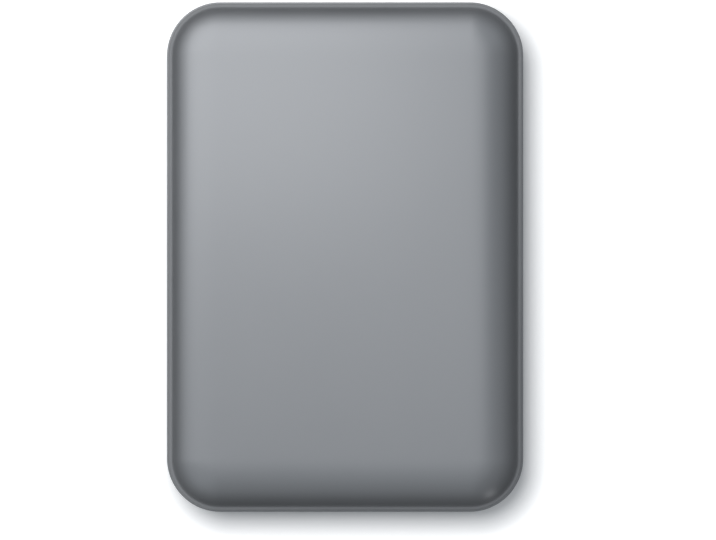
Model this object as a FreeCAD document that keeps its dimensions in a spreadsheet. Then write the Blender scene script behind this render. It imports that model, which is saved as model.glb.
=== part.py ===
import FreeCAD, Part
import os
import re

import Sketcher

# Portable external hard drive: a two-piece moulded case around a standard 2.5-inch drive and its USB board.
# Frame: millimetres, +Z up, +Y towards the port end, origin at the middle of the plane it rests on.

# Driving dimensions, in millimetres and degrees
SIZES = {
    # Bare drive, the standard 7 mm form factor
    "drive_width": 69.85,
    "drive_length": 100.35,
    "drive_height": 7.0,
    "drive_corner": 3.0,
    # Room round the drive inside the case
    "side_gap": 3.575,
    "far_gap": 2.85,
    "port_bay": 8.2,
    "gap_below": 1.4,
    "gap_above": 2.9,
    # How far a cutter runs past the face that it opens
    "cutter_pass": 1.0,
    # Case shells
    "shell_wall": 1.5,
    "case_corner": 12.0,
    "tray_depth": 7.8,
    "seam_step": 0.3,
    "cover_edge": 10.0,
    "cover_side_radius": 3.5,
    "cover_land": 0.4,
    "tray_edge": 7.0,
    "tray_side_radius": 3.0,
    "tray_land": 3.3,
    # Lip inside the seam, with its snap beads
    "lip_drop": 2.0,
    "lip_rise": 1.2,
    "lip_thick": 0.9,
    "lip_gap": 0.1,
    "bead_length": 8.0,
    "bead_height": 0.6,
    "bead_proud": 0.35,
    "bead_gap": 0.15,
    "bead_pitch": 30.0,
    # Ribs and posts moulded inside, with the depth to which they run into the wall
    "root_depth": 0.5,
    "cradle_root_depth": 0.1,
    "rib_thick": 1.2,
    "rib_gap": 0.3,
    "rib_pitch": 36.0,
    "rib_length": 80.0,
    "post_radius": 1.5,
    "post_reach": 25.0,
    "post_spread": 24.0,
    # Rubber feet
    "foot_radius": 4.0,
    "foot_proud": 0.5,
    "foot_recess": 0.5,
    "foot_inset": 14.0,
    "foot_round": 0.3,
    "foot_gap": 0.05,
    # Rubber pads on the drive's side holes
    "pad_thick": 2.2,
    "pad_length": 8.0,
    "pad_height": 5.0,
    "pad_gap": 0.2,
    "cradle_gap": 0.375,
    "cradle_thick": 1.5,
    "cradle_rib": 1.0,
    "peg_radius": 1.2,
    "peg_length": 1.5,
    "side_hole_radius": 1.25,
    "side_hole_depth": 1.7,
    "side_hole_height": 3.0,
    "side_hole_near": 14.0,
    "side_hole_far": 90.6,
    # USB board in the port bay
    "bridge_side": 6.425,
    "bridge_depth": 5.1,
    "bridge_thick": 0.8,
    "bridge_corner": 1.0,
    "bridge_rise": 1.1,
    "bridge_front_gap": 2.2,
    "bridge_shift": 1.0,
    "bridge_post_radius": 1.2,
    "bridge_post_pitch": 24.0,
    "bridge_post_back": 2.0,
    "chip_height": 0.75,
    "controller_length": 4.5,
    "controller_width": 3.0,
    "memory_length": 3.0,
    "memory_width": 2.0,
    "crystal_length": 3.2,
    "crystal_width": 1.5,
    "chip_pitch": 8.0,
    "led_length": 1.6,
    "led_width": 0.8,
    "led_height": 0.6,
    "led_offset": 10.5,
    "led_setback": 0.55,
    "pipe_width": 2.4,
    "pipe_height": 1.2,
    "pipe_gap": 0.1,
    "pipe_setback": 0.35,
    # USB socket: a wide lobe and a narrow lobe joined by a low neck
    "usb_margin": 0.6,
    "usb_depth": 6.0,
    "usb_setback": 0.6,
    "usb_height": 2.6,
    "usb_wide": 7.4,
    "usb_narrow": 4.9,
    "usb_neck": 0.5,
    "usb_neck_drop": 0.6,
    "usb_chamfer": 0.8,
    "usb_sheet": 0.25,
    "usb_blade": 0.6,
    "usb_blade_margin": 0.75,
    "usb_block_depth": 1.5,
    "usb_blade_setback": 0.7,
    "port_gap": 0.3,
    "port_corner": 0.8,
    # Serial connector between the drive and the USB board
    "sata_shift": 4.8,
    "sata_width": 38.0,
    "sata_height": 3.2,
    "sata_tail": 1.5,
    "sata_tail_thick": 0.3,
    "sata_gap": 0.3,
    "sata_plug_depth": 2.1,
    "sata_plug_height": 4.0,
    "sata_blade_length": 3.5,
    "sata_blade_thick": 1.2,
    "sata_blade_rise": 1.6,
    "sata_signal_width": 8.0,
    "sata_power_width": 21.0,
    "sata_blade_space": 2.4,
    "sata_blade_gap": 0.15,
    "notch_depth": 6.0,
    "notch_gap": 1.0,
    "notch_height": 4.4,
    # Drive casting
    "base_height": 6.2,
    "well_radius": 33.4,
    "well_floor": 1.6,
    "bay_floor": 2.5,
    "bay_left_wall": 2.925,
    "bay_right_wall": 2.325,
    "bay_corner": 3.0,
    "bay_start": 22.0,
    "bay_end_wall": 1.5,
    "board_pocket": 1.9,
    "board_pocket_start": 34.5,
    "board_side_wall": 1.925,
    "spindle_inset": 34.925,
    "motor_boss_radius": 5.6,
    "motor_boss_top": 2.0,
    # Drive lid, its gasket and screws
    "lid_thick": 0.6,
    "lid_inset": 0.3,
    "lid_corner": 4.0,
    "gasket_thick": 0.2,
    "gasket_width": 1.0,
    "gasket_inset": 0.15,
    "screw_radius": 0.8,
    "screw_length": 3.4,
    "screw_gap": 0.02,
    "screw_head_radius": 1.8,
    "screw_head_height": 0.35,
    "screw_sink": 0.4,
    "screw_sink_gap": 0.2,
    "screw_inset": 3.7,
    "screw_tip_room": 0.1,
    "screw_slot_width": 0.5,
    "screw_slot_length": 2.0,
    "screw_slot_share": 0.6,
    # Stamped step in the lid over the disc
    "lid_step_depth": 0.2,
    "lid_step_radius": 29.0,
    # Drive board
    "board_thick": 0.8,
    "board_rise": 0.4,
    "board_margin": 0.5,
    "board_chip_height": 0.55,
    "board_boss_radius": 2.0,
    "board_boss_root": 0.1,
    "board_screw_inset": 3.5,
    "board_screw_head": 0.3,
    "board_screw_length": 1.8,
    "soc_size": 11.0,
    "driver_size": 7.0,
    "cache_length": 9.0,
    "cache_width": 6.0,
    "board_chip_row": 15.0,
    "board_chip_pitch": 16.0,
    # Spindle motor and disc
    "disc_radius": 32.5,
    "disc_bore": 10.0,
    "disc_thick": 0.8,
    "disc_height": 3.8,
    "disc_fit": 0.05,
    "flange_radius": 11.8,
    "flange_thick": 0.8,
    "hub_top_rise": 0.4,
    "hub_web": 0.7,
    "hub_skirt": 0.95,
    "hub_floor_gap": 0.3,
    "shaft_radius": 2.0,
    "shaft_fit": 0.03,
    "seat_fit": 0.02,
    "sleeve_radius": 4.5,
    "sleeve_floor": 0.4,
    "sleeve_gap": 0.1,
    "magnet_ring": 0.75,
    "magnet_ring_height": 1.6,
    "stator_gap": 0.3,
    "stator_height": 0.8,
    "stator_yoke": 1.0,
    "tooth_width": 1.0,
    "tooth_count": 9,
    "winding_wall": 0.35,
    "winding_length": 1.6,
    "winding_end_gap": 0.3,
    "clamp_radius": 12.2,
    "clamp_rim": 1.3,
    "clamp_thick": 0.4,
    "clamp_hole_radius": 0.8,
    "clamp_hole_circle": 6.5,
    "clamp_hole_count": 6,
    "clamp_screw_radius": 0.9,
    "clamp_screw_length": 1.8,
    "clamp_head_radius": 2.6,
    "clamp_head_height": 0.5,
    # Head actuator, about its own pivot
    "pivot_side": 17.6,
    "pivot_ahead": 38.0,
    "arm_length": 34.5,
    "park_radius": 34.8,
    "inner_track": 14.5,
    "pivot_radius": 2.0,
    "pivot_sleeve_radius": 4.0,
    "pivot_hub_radius": 5.6,
    "pivot_floor_gap": 0.2,
    "pivot_top_gap": 0.6,
    "arm_thick": 0.6,
    "arm_root": 4.5,
    "arm_tip": 2.2,
    "arm_reach": 24.0,
    "arm_air": 0.5,
    "arm_window_start": 9.0,
    "arm_window_end": 18.0,
    "arm_window_rail": 1.4,
    "suspension_thick": 0.15,
    "suspension_start": 20.5,
    "suspension_root": 2.0,
    "suspension_tip": 0.45,
    "tab_reach": 1.9,
    "head_length": 1.2,
    "head_width": 0.9,
    "head_gap": 0.05,
    # Voice coil motor
    "coil_turn": 205.0,
    "coil_inner": 8.9,
    "coil_outer": 16.4,
    "coil_half_angle": 17.0,
    "coil_wire": 2.2,
    "coil_wire_angle": 7.0,
    "coil_thick": 1.2,
    "frame_wall": 0.7,
    "frame_wall_angle": 3.0,
    "frame_thick": 1.0,
    "yoke_inner": 8.0,
    "yoke_outer": 17.6,
    "yoke_margin_angle": 6.4,
    "yoke_leg_angle": 4.0,
    "yoke_thick": 0.5,
    "magnet_thick": 0.35,
    "magnet_leg_angle": 3.0,
    # Ramp that the heads park on
    "ramp_gap": 0.05,
    "ramp_inner": 0.8,
    "ramp_before": 4.0,
    "ramp_after": 8.0,
    "ramp_block": 3.5,
    "ramp_disc_gap": 0.3,
    "ramp_slot_gap": 0.1,
    "ramp_end_gap": 0.4,
    "ramp_seat_gap": 0.3,
    "ramp_seat_angle": 1.0,
    # Filters and the flex cable's bracket
    "breather_radius": 5.0,
    "breather_height": 1.5,
    "breather_side": 10.0,
    "breather_ahead": 48.0,
    "filter_length": 6.0,
    "filter_width": 1.6,
    "filter_height": 3.0,
    "filter_side": 4.0,
    "filter_ahead": 27.0,
    "bracket_length": 9.0,
    "bracket_width": 4.0,
    "bracket_height": 2.0,
    "bracket_left": 6.0,
    "bracket_ahead": 52.0,
}

# Dimensions and places worked out from the driving ones
PLACES = {
    # Case
    "case_width": "drive_width + 2 * (side_gap + shell_wall)",
    "case_length": "drive_length + far_gap + port_bay + 2 * shell_wall",
    "seam": "foot_proud + tray_depth",
    "inner_floor": "foot_proud + shell_wall",
    "drive_bottom": "inner_floor + gap_below",
    "inner_ceiling": "drive_bottom + drive_height + gap_above",
    "cover_height": "inner_ceiling + shell_wall - seam",
    "end_wall": "case_length / 2 - shell_wall",
    "side_wall": "case_width / 2 - shell_wall",
    # Drive in the case
    "drive_far": "far_gap - end_wall",
    "drive_near": "drive_far + drive_length",
    "drive_middle": "drive_far + drive_length / 2",
    "rim": "drive_bottom + base_height",
    "lid_bottom": "rim + gasket_thick",
    "lid_top": "lid_bottom + lid_thick",
    "well_bottom": "drive_bottom + well_floor",
    "bay_bottom": "drive_bottom + bay_floor",
    "bay_end": "drive_near - notch_depth - bay_end_wall",
    "bay_left": "drive_width / 2 - bay_left_wall",
    "bay_right": "drive_width / 2 - bay_right_wall",
    "board_pocket_side": "drive_width / 2 - board_side_wall",
    "breather_left": "bay_left - breather_side",
    "filter_right": "bay_right - filter_side",
    # USB board
    "bridge_width": "drive_width - 2 * bridge_side",
    "bridge_bottom": "inner_floor + bridge_rise",
    "bridge_top": "bridge_bottom + bridge_thick",
    "bridge_front": "end_wall - bridge_front_gap",
    "bridge_back": "bridge_front - bridge_depth",
    "usb_width": "usb_wide + usb_neck + usb_narrow",
    "usb_offset": "bridge_shift + bridge_width / 2 - usb_width / 2 - usb_margin",
    "usb_mouth": "case_length / 2 - usb_setback",
    "usb_middle": "bridge_top + usb_height / 2",
    "chip_line": "bridge_front - controller_width / 2 - bridge_corner / 3",
    "led_place": "usb_offset - led_offset",
    "sata_blade_height": "bridge_top + sata_blade_rise",
    "notch_width": "sata_width + 2 * notch_gap",
    # Spindle
    "spindle": "drive_far + spindle_inset",
    "disc_bottom": "drive_bottom + disc_height",
    "disc_top": "disc_bottom + disc_thick",
    "hub_top": "disc_top + hub_top_rise",
    "hub_bottom": "well_bottom + hub_floor_gap",
    "hub_radius": "disc_bore - disc_fit",
    "cup_radius": "hub_radius - hub_skirt",
    "stator_radius": "cup_radius - seat_fit - magnet_ring - stator_gap",
    "stator_bottom": "drive_bottom + motor_boss_top",
    # Actuator
    "pivot_right": "bay_right - pivot_side",
    "pivot": "spindle + pivot_ahead",
    "pivot_distance": "sqrt(pivot_right * pivot_right + pivot_ahead * pivot_ahead)",
    "to_spindle": "180 + atan(pivot_ahead / pivot_right) / 1 deg",
    "reach_sum": "pivot_distance * pivot_distance + arm_length * arm_length",
    "reach_product": "2 * pivot_distance * arm_length",
    "park_swing": "acos((reach_sum - park_radius * park_radius) / reach_product) / 1 deg",
    "inner_swing": "acos((reach_sum - inner_track * inner_track) / reach_product) / 1 deg",
    "park_angle": "to_spindle - park_swing",
    "swing": "park_swing - inner_swing",
    "block_bottom": "bay_bottom + pivot_floor_gap",
    "block_top": "lid_bottom - pivot_top_gap",
    "upper_arm": "disc_top + arm_air",
    "lower_arm": "disc_bottom - arm_air - arm_thick",
    "coil_middle": "(disc_top + disc_bottom) / 2",
    "frame_half_angle": "coil_half_angle + frame_wall_angle",
    "yoke_half_angle": "frame_half_angle + swing / 2 + yoke_margin_angle",
    "yoke_direction": "park_angle + swing / 2 + coil_turn",
    "upper_yoke_bottom": "lid_bottom - yoke_thick - pivot_top_gap / 2",
}

doc = FreeCAD.newDocument("external_hard_drive")
sheet = doc.addObject("Spreadsheet::Sheet", "Sizes")
for row, (alias, number) in enumerate(SIZES.items(), start=1):
    sheet.set(f"A{row}", str(number))
    sheet.setAlias(f"A{row}", alias)
doc.recompute()


def expression(text):
    """The text with each dimension's name led by the object that holds it."""

    def lead(match):
        word = match[0]
        if word in SIZES:
            return f"Sizes.{word}"
        return f"Places.{word}" if word in PLACES else word

    return re.sub(r"[a-z_]+", lead, text)


places = doc.addObject("App::VarSet", "Places")
for name in PLACES:
    places.addProperty("App::PropertyFloat", name)
for name, text in PLACES.items():
    places.setExpression(name, expression(text))
doc.recompute()


def number_of(text):
    """What an expression comes to now."""
    return float(sheet.evalExpression(expression(text)))


def bind(thing, **properties):
    """Ties an object's sizes to the sheet."""
    for name, text in properties.items():
        thing.setExpression(name, expression(text))


def place(thing, x="0", y="0", z="0", turn="0", axis="0; 0; 1"):
    """Ties an object's place, and its turn in degrees about an axis, to the sheet."""
    spot = f"vector({x}; {y}; {z})"
    bind(thing, Placement=f"placement({spot}; rotation(vector({axis}); {turn}))")


# Solids from Part primitives

finished = []
ALONG_X = "0; 1; 0"
ALONG_Y = "1; 0; 0"


def part(label, thing):
    """Marks an object as a sub-part with this name."""
    thing.Label = label
    finished.append(thing)
    return thing


def block(name, size, middle, turn="0"):
    """A box of size (x, y, z) on the point that is the middle of its underside, turned about that point."""
    thing = doc.addObject("Part::Box", name)
    bind(thing, Length=size[0], Width=size[1], Height=size[2])
    x, y, z = middle
    back_x = f"({size[0]}) / 2"
    back_y = f"({size[1]}) / 2"
    turned_x = f"{x} - {back_x} * cos({turn}) + {back_y} * sin({turn})"
    turned_y = f"{y} - {back_x} * sin({turn}) - {back_y} * cos({turn})"
    place(thing, turned_x, turned_y, z, turn)
    return thing


def rod(name, radius, length, foot, turn="0", axis="0; 0; 1", sweep="360"):
    """A cylinder on its foot, or a sector of one."""
    thing = doc.addObject("Part::Cylinder", name)
    bind(thing, Radius=radius, Height=length, Angle=sweep)
    place(thing, *foot, turn, axis)
    return thing


def cut(name, base, *tools):
    """The base with the tools taken away."""
    thing = doc.addObject("Part::Cut", name)
    thing.Base = base
    thing.Tool = tools[0] if len(tools) == 1 else joined(f"{name}_tools", *tools)
    return thing


def joined(name, *things):
    """Several solids made one."""
    thing = doc.addObject("Part::MultiFuse", name)
    thing.Shapes = list(things)
    thing.Refine = True
    return thing


def group(name, *things):
    """Several solids that stay apart in one node."""
    thing = doc.addObject("Part::Compound", name)
    thing.Links = list(things)
    return thing


def ring(name, inner, outer, height, foot):
    """A tube standing on its foot."""
    x, y, z = foot
    core = rod(f"{name}_core", inner, f"{height} + 2 * cutter_pass", (x, y, f"{z} - cutter_pass"))
    return cut(name, rod(f"{name}_disc", outer, height, foot), core)


def sector(name, inner, outer, height, foot, direction, half_angle):
    """Part of a flat ring about the foot, centred on a direction."""
    x, y, z = foot
    start = f"{direction} - ({half_angle})"
    wedge = rod(f"{name}_wedge", outer, height, foot, start, sweep=f"2 * ({half_angle})")
    core = rod(f"{name}_core", inner, f"{height} + 2 * cutter_pass", (x, y, f"{z} - cutter_pass"))
    return cut(name, wedge, core)


pivot_foot = ("pivot_right", "pivot")


def about_pivot(name, inner, outer, height, bottom, direction, half_angle):
    """Part of a flat ring about the actuator's pivot."""
    return sector(name, inner, outer, height, (*pivot_foot, bottom), direction, half_angle)


# Solids from sketches


def sketch_on(body, name, plane="XY_Plane", shift=("0", "0", "0")):
    """A sketch on one of its body's own planes, moved along that plane's axes."""
    sketch = body.newObject("Sketcher::SketchObject", name)
    support = next(f for f in body.Origin.OriginFeatures if f.Role == plane)
    sketch.AttachmentSupport = (support, "")
    sketch.MapMode = "FlatFace"
    for axis, text in zip("xyz", shift):
        sketch.setExpression(f"AttachmentOffset.Base.{axis}", expression(text))
    return sketch


def dimension(sketch, kind, text, *where):
    """A named dimension that follows an expression."""
    index = sketch.addConstraint(Sketcher.Constraint(kind, *where, number_of(text)))
    name = f"size_{index}"
    sketch.renameConstraint(index, name)
    sketch.setExpression(f"Constraints.{name}", expression(text))


def pin(sketch, geometry, point, x, y):
    """Holds one point of a piece of geometry at (x, y) from the sketch's origin."""
    dimension(sketch, "DistanceX", x, -1, 1, geometry, point)
    dimension(sketch, "DistanceY", y, -1, 1, geometry, point)


def line(sketch, start, end):
    """A straight line between two points given in numbers."""
    segment = Part.LineSegment(FreeCAD.Vector(*start, 0), FreeCAD.Vector(*end, 0))
    return sketch.addGeometry(segment, False)


def outline(sketch, points):
    """A closed outline of straight lines through points given as expressions."""
    corners = [(number_of(x), number_of(y)) for x, y in points]
    lines = [line(sketch, a, b) for a, b in zip(corners, corners[1:] + corners[:1])]
    for here, after in zip(lines, lines[1:] + lines[:1]):
        sketch.addConstraint(Sketcher.Constraint("Coincident", here, 2, after, 1))
    for index, (x, y) in zip(lines, points):
        pin(sketch, index, 1, x, y)


def rounded_rectangle(sketch, width, length, corner):
    """A rectangle about the sketch's origin with four equal round corners."""
    half_x, half_y, radius = number_of(width) / 2, number_of(length) / 2, number_of(corner)
    in_x, in_y = half_x - radius, half_y - radius
    up = FreeCAD.Vector(0, 0, 1)
    sides = [
        line(sketch, (-in_x, -half_y), (in_x, -half_y)),
        line(sketch, (half_x, -in_y), (half_x, in_y)),
        line(sketch, (in_x, half_y), (-in_x, half_y)),
        line(sketch, (-half_x, in_y), (-half_x, -in_y)),
    ]
    quarter = 1.5707963267948966
    arcs = []
    for turn, (x, y) in enumerate([(in_x, -in_y), (in_x, in_y), (-in_x, in_y), (-in_x, -in_y)]):
        whole = Part.Circle(FreeCAD.Vector(x, y, 0), up, radius)
        start = (turn - 1) * quarter
        arcs.append(sketch.addGeometry(Part.ArcOfCircle(whole, start, start + quarter), False))
    for turn in range(4):
        sketch.addConstraint(Sketcher.Constraint("Tangent", sides[turn], 2, arcs[turn], 1))
        sketch.addConstraint(Sketcher.Constraint("Tangent", arcs[turn], 2, sides[(turn + 1) % 4], 1))
    for arc in arcs[1:]:
        sketch.addConstraint(Sketcher.Constraint("Equal", arcs[0], arc))
    sketch.addConstraint(Sketcher.Constraint("Horizontal", sides[0]))
    sketch.addConstraint(Sketcher.Constraint("Vertical", sides[1]))
    sketch.addConstraint(Sketcher.Constraint("Horizontal", sides[2]))
    sketch.addConstraint(Sketcher.Constraint("Vertical", sides[3]))
    dimension(sketch, "Radius", corner, arcs[0])
    pin(sketch, arcs[2], 3, f"({corner}) - ({width}) / 2", f"({length}) / 2 - ({corner})")
    pin(sketch, arcs[0], 3, f"({width}) / 2 - ({corner})", f"({corner}) - ({length}) / 2")


def padded(body, sketch, height):
    """A sketch drawn up into a solid."""
    pad = body.newObject("PartDesign::Pad", f"{sketch.Name}_pad")
    pad.Profile = sketch
    bind(pad, Length=height)
    return pad


def slab(name, width, length, corner, height, middle):
    """A plate with round corners on the point that is the middle of its underside."""
    body = doc.addObject("PartDesign::Body", name)
    sketch = sketch_on(body, f"{name}_outline")
    rounded_rectangle(sketch, width, length, corner)
    padded(body, sketch, height)
    place(body, *middle)
    return body


def prism(name, points, height, foot, turn="0"):
    """A plate with a straight-sided outline, turned about its foot."""
    body = doc.addObject("PartDesign::Body", name)
    sketch = sketch_on(body, f"{name}_outline")
    outline(sketch, points)
    padded(body, sketch, height)
    place(body, *foot, turn)
    return body


def turned(name, points, foot):
    """A solid of revolution about the vertical line through its foot, from (radius, height) points."""
    body = doc.addObject("PartDesign::Body", name)
    sketch = sketch_on(body, f"{name}_profile", "XZ_Plane")
    outline(sketch, points)
    spin = body.newObject("PartDesign::Revolution", f"{name}_turn")
    spin.Profile = sketch
    spin.ReferenceAxis = (sketch, ["V_Axis"])
    spin.Angle = 360
    place(body, *foot)
    return body


def pillow(name, width, length, corner, height, land, edge, side_radius, middle, turn="0"):
    """A slab whose rim is a short upright land and then two tangent arcs that roll onto its flat top."""
    body = doc.addObject("PartDesign::Body", name)
    path = sketch_on(body, f"{name}_path")
    rounded_rectangle(path, width, length, corner)
    profile = sketch_on(body, f"{name}_profile", "XZ_Plane")
    roll(profile, f"({width}) / 2", height, land, edge, side_radius)
    rim = body.newObject("PartDesign::AdditivePipe", f"{name}_rim")
    rim.Profile = profile
    rim.Spine = (path, [f"Edge{index + 1}" for index in range(8)])
    core = sketch_on(body, f"{name}_core")
    inside = f" - 2 * ({edge})"
    rounded_rectangle(core, width + inside, length + inside, f"({corner}) - ({edge})")
    padded(body, core, height)
    place(body, *middle, turn, axis="1; 0; 0")
    return body


def roll(sketch, outer, height, land, edge, side_radius):
    """The section of a pillow's rim, from its outer face in to where its top is flat."""
    x, top, low, reach, side = (number_of(t) for t in (outer, height, land, edge, side_radius))
    rise = top - low
    crown = ((reach - side) ** 2 + rise**2 - side**2) / (2 * (rise - side))
    side_middle = FreeCAD.Vector(x - side, low, 0)
    crown_middle = FreeCAD.Vector(x - reach, top - crown, 0)
    meet = side_middle + (side_middle - crown_middle).normalize() * side
    up = FreeCAD.Vector(0, 0, 1)
    angle = FreeCAD.Vector(1, 0, 0).getAngle(meet - side_middle)
    quarter = 1.5707963267948966
    wall = line(sketch, (x, 0), (x, low))
    bend = sketch.addGeometry(Part.ArcOfCircle(Part.Circle(side_middle, up, side), 0, angle), False)
    dome = sketch.addGeometry(Part.ArcOfCircle(Part.Circle(crown_middle, up, crown), angle, quarter), False)
    inner = line(sketch, (x - reach, top), (x - reach, 0))
    floor = line(sketch, (x - reach, 0), (x, 0))
    sketch.addConstraint(Sketcher.Constraint("Tangent", wall, 2, bend, 1))
    sketch.addConstraint(Sketcher.Constraint("Tangent", bend, 2, dome, 1))
    sketch.addConstraint(Sketcher.Constraint("Coincident", dome, 2, inner, 1))
    sketch.addConstraint(Sketcher.Constraint("Coincident", inner, 2, floor, 1))
    sketch.addConstraint(Sketcher.Constraint("Coincident", floor, 2, wall, 1))
    sketch.addConstraint(Sketcher.Constraint("Vertical", wall))
    sketch.addConstraint(Sketcher.Constraint("Vertical", inner))
    sketch.addConstraint(Sketcher.Constraint("PointOnObject", dome, 3, inner))
    pin(sketch, wall, 1, outer, "0")
    dimension(sketch, "DistanceY", land, -1, 1, wall, 2)
    dimension(sketch, "Radius", side_radius, bend)
    pin(sketch, dome, 2, f"({outer}) - ({edge})", height)
    dimension(sketch, "DistanceY", "0", -1, 1, floor, 1)


# Case shells

SIDES = {"left": "-1", "right": "1"}
ENDS = {"port": "1", "far": "-1"}
PAD_ENDS = {"port": "drive_near - side_hole_near", "far": "drive_near - side_hole_far"}


def shell(name, inset, height, land, edge, side_radius, turn):
    """One half of the case: a pillow with a parallel pillow taken out of its open face."""
    sizes = (f"case_width - 2 * {inset}", f"case_length - 2 * {inset}", f"case_corner - {inset}")
    outer = pillow(f"{name}_form", *sizes, height, land, edge, side_radius, ("0", "0", "seam"), turn)
    hollow = pillow(
        f"{name}_hollow",
        *(f"{size} - {share} * shell_wall" for size, share in zip(sizes, (2, 2, 1))),
        f"{height} - shell_wall",
        land,
        f"{edge} - shell_wall",
        f"{side_radius} - shell_wall",
        ("0", "0", "seam"),
        turn,
    )
    return cut(f"{name}_shell", outer, hollow)


def seam_ring(name, gap, height, bottom):
    """A band that follows the case wall, a gap inside it."""
    bands = []
    for layer, depth in (("outside", gap), ("inside", f"{gap} + lip_thick")):
        sizes = (f"2 * side_wall - 2 * ({depth})", f"2 * end_wall - 2 * ({depth})")
        corner = f"case_corner - shell_wall - ({depth})"
        bands.append(slab(f"{name}_{layer}", *sizes, corner, height, ("0", "0", bottom)))
    return cut(name, *bands)


def beads(name, grow):
    """Snap beads along both long sides, or the grooves they spring into."""
    size = (f"2 * bead_proud + {grow}", f"bead_length + {grow}", f"bead_height + {grow}")
    bottom = f"seam - lip_drop / 2 + lip_gap - bead_height / 2 - ({grow}) / 2"
    return [
        block(f"{name}_{side}_{index}", size, (f"{sign} * (side_wall - lip_gap)", f"{index - 1} * bead_pitch", bottom))
        for side, sign in SIDES.items()
        for index in range(3)
    ]


ribs = [
    block(
        f"cover_rib_{side}",
        ("rib_thick", "rib_length", "inner_ceiling - lid_top - rib_gap + root_depth"),
        (f"{sign} * rib_pitch / 2", "drive_middle", "lid_top + rib_gap"),
    )
    for side, sign in SIDES.items()
]
lip = cut(
    "lip",
    joined("lip_band", seam_ring("lip_ring", "lip_gap", "lip_drop + lip_rise", "seam - lip_drop"), *beads("bead", "0")),
    block(
        "lip_port_gap",
        ("usb_width + 4 * port_gap", "4 * lip_thick", "2 * lip_drop + 2 * lip_rise"),
        ("usb_offset", "end_wall", "seam - lip_drop - lip_rise"),
    ),
)
cover_shell = shell("cover", "seam_step", "cover_height", "cover_land", "cover_edge", "cover_side_radius", "0")
part("top_cover", joined("cover", cover_shell, lip, *ribs))

posts = [
    rod(
        f"drive_post_{end}_{side}",
        "post_radius",
        "gap_below + root_depth",
        (f"{sign} * post_reach", f"spindle + {way} * post_spread", "inner_floor - root_depth"),
    )
    for side, sign in SIDES.items()
    for end, way in ENDS.items()
]
posts += [
    rod(
        f"bridge_post_{index}",
        "bridge_post_radius",
        "bridge_rise + root_depth",
        (
            f"bridge_shift + {index - 1} * bridge_post_pitch",
            "bridge_back + bridge_post_back",
            "inner_floor - root_depth",
        ),
    )
    for index in range(3)
]
for side, sign in SIDES.items():
    for end, spot in PAD_ENDS.items():
        name = f"shock_pad_{end}_{side}"
        face = f"{sign} * drive_width / 2"
        hole_z = "drive_bottom + side_hole_height"
        pad_z = f"{hole_z} - pad_height / 2"
        pad_size = ("pad_thick", "pad_length", "pad_height")
        pad = block(f"{name}_block", pad_size, (f"{sign} * (drive_width + pad_thick) / 2", spot, pad_z))
        peg = rod(f"{name}_peg", "peg_radius", "2 * peg_length", (f"{face} - peg_length", spot, hole_z), "90", ALONG_X)
        part(name, joined(name, pad, peg))
        cradle_x = f"{face} + {sign} * (cradle_gap + cradle_thick / 2)"
        cradle_root = "inner_floor - cradle_root_depth"
        cradle = block(
            f"{name}_cradle_block",
            ("cradle_thick", "pad_length + 2 * (cradle_rib + pad_gap)", f"seam - lip_drop - pad_gap - ({cradle_root})"),
            (cradle_x, spot, cradle_root),
        )
        room = block(
            f"{name}_room", ("2 * cradle_thick", "pad_length + 2 * pad_gap", "pad_height"), (cradle_x, spot, pad_z)
        )
        posts.append(cut(f"{name}_cradle", cradle, room))

holes = beads("groove", "2 * bead_gap")
for side, sign in SIDES.items():
    for end, way in ENDS.items():
        name = f"foot_{end}_{side}"
        middle = (f"{sign} * (case_width / 2 - foot_inset)", f"{way} * (case_length / 2 - foot_inset)", "0")
        profile = [
            ("0", "0"),
            ("foot_radius - foot_round", "0"),
            ("foot_radius", "foot_round"),
            ("foot_radius", "foot_proud + foot_recess"),
            ("0", "foot_proud + foot_recess"),
        ]
        part(name, turned(name, profile, middle))
        holes.append(rod(f"{name}_recess", "foot_radius + foot_gap", "foot_proud + foot_recess", middle))
port = slab(
    "port_opening",
    "usb_width + 2 * port_gap",
    "usb_height + 2 * port_gap",
    "port_corner",
    "3 * shell_wall",
    ("0", "0", "0"),
)
place(port, "usb_offset", "end_wall + 2 * shell_wall", "usb_middle", "90", ALONG_Y)
slot = block(
    "pipe_slot",
    ("pipe_width + 2 * pipe_gap", "4 * shell_wall", "pipe_height + pipe_gap"),
    ("led_place", "end_wall", "bridge_top"),
)
tray_shell = shell("tray", "0", "tray_depth", "tray_land", "tray_edge", "tray_side_radius", "180")
part("bottom_cover", cut("tray", joined("tray_with_posts", tray_shell, *posts), port, slot, *holes))

# USB board in the port bay

pipe_back = "bridge_front"
pipe_length = f"case_length / 2 - pipe_setback - {pipe_back}"
part(
    "light_pipe",
    block(
        "light_pipe",
        ("pipe_width", pipe_length, "pipe_height"),
        ("led_place", f"{pipe_back} + ({pipe_length}) / 2", "bridge_top"),
    ),
)
part(
    "bridge_board",
    slab(
        "bridge_board",
        "bridge_width",
        "bridge_depth",
        "bridge_corner",
        "bridge_thick",
        ("bridge_shift", "bridge_front - bridge_depth / 2", "bridge_bottom"),
    ),
)
for steps, (name, length, width) in enumerate(
    [
        ("bridge_crystal", "crystal_length", "crystal_width"),
        ("bridge_controller", "controller_length", "controller_width"),
        ("bridge_memory", "memory_length", "memory_width"),
    ],
    start=1,
):
    spot = (f"led_place - {steps} * chip_pitch", "chip_line", "bridge_top")
    part(name, block(name, (length, width, "chip_height"), spot))
part(
    "status_led",
    block(
        "status_led",
        ("led_length", "led_width", "led_height"),
        ("led_place", "bridge_front - led_setback", "bridge_top"),
    ),
)


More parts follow.
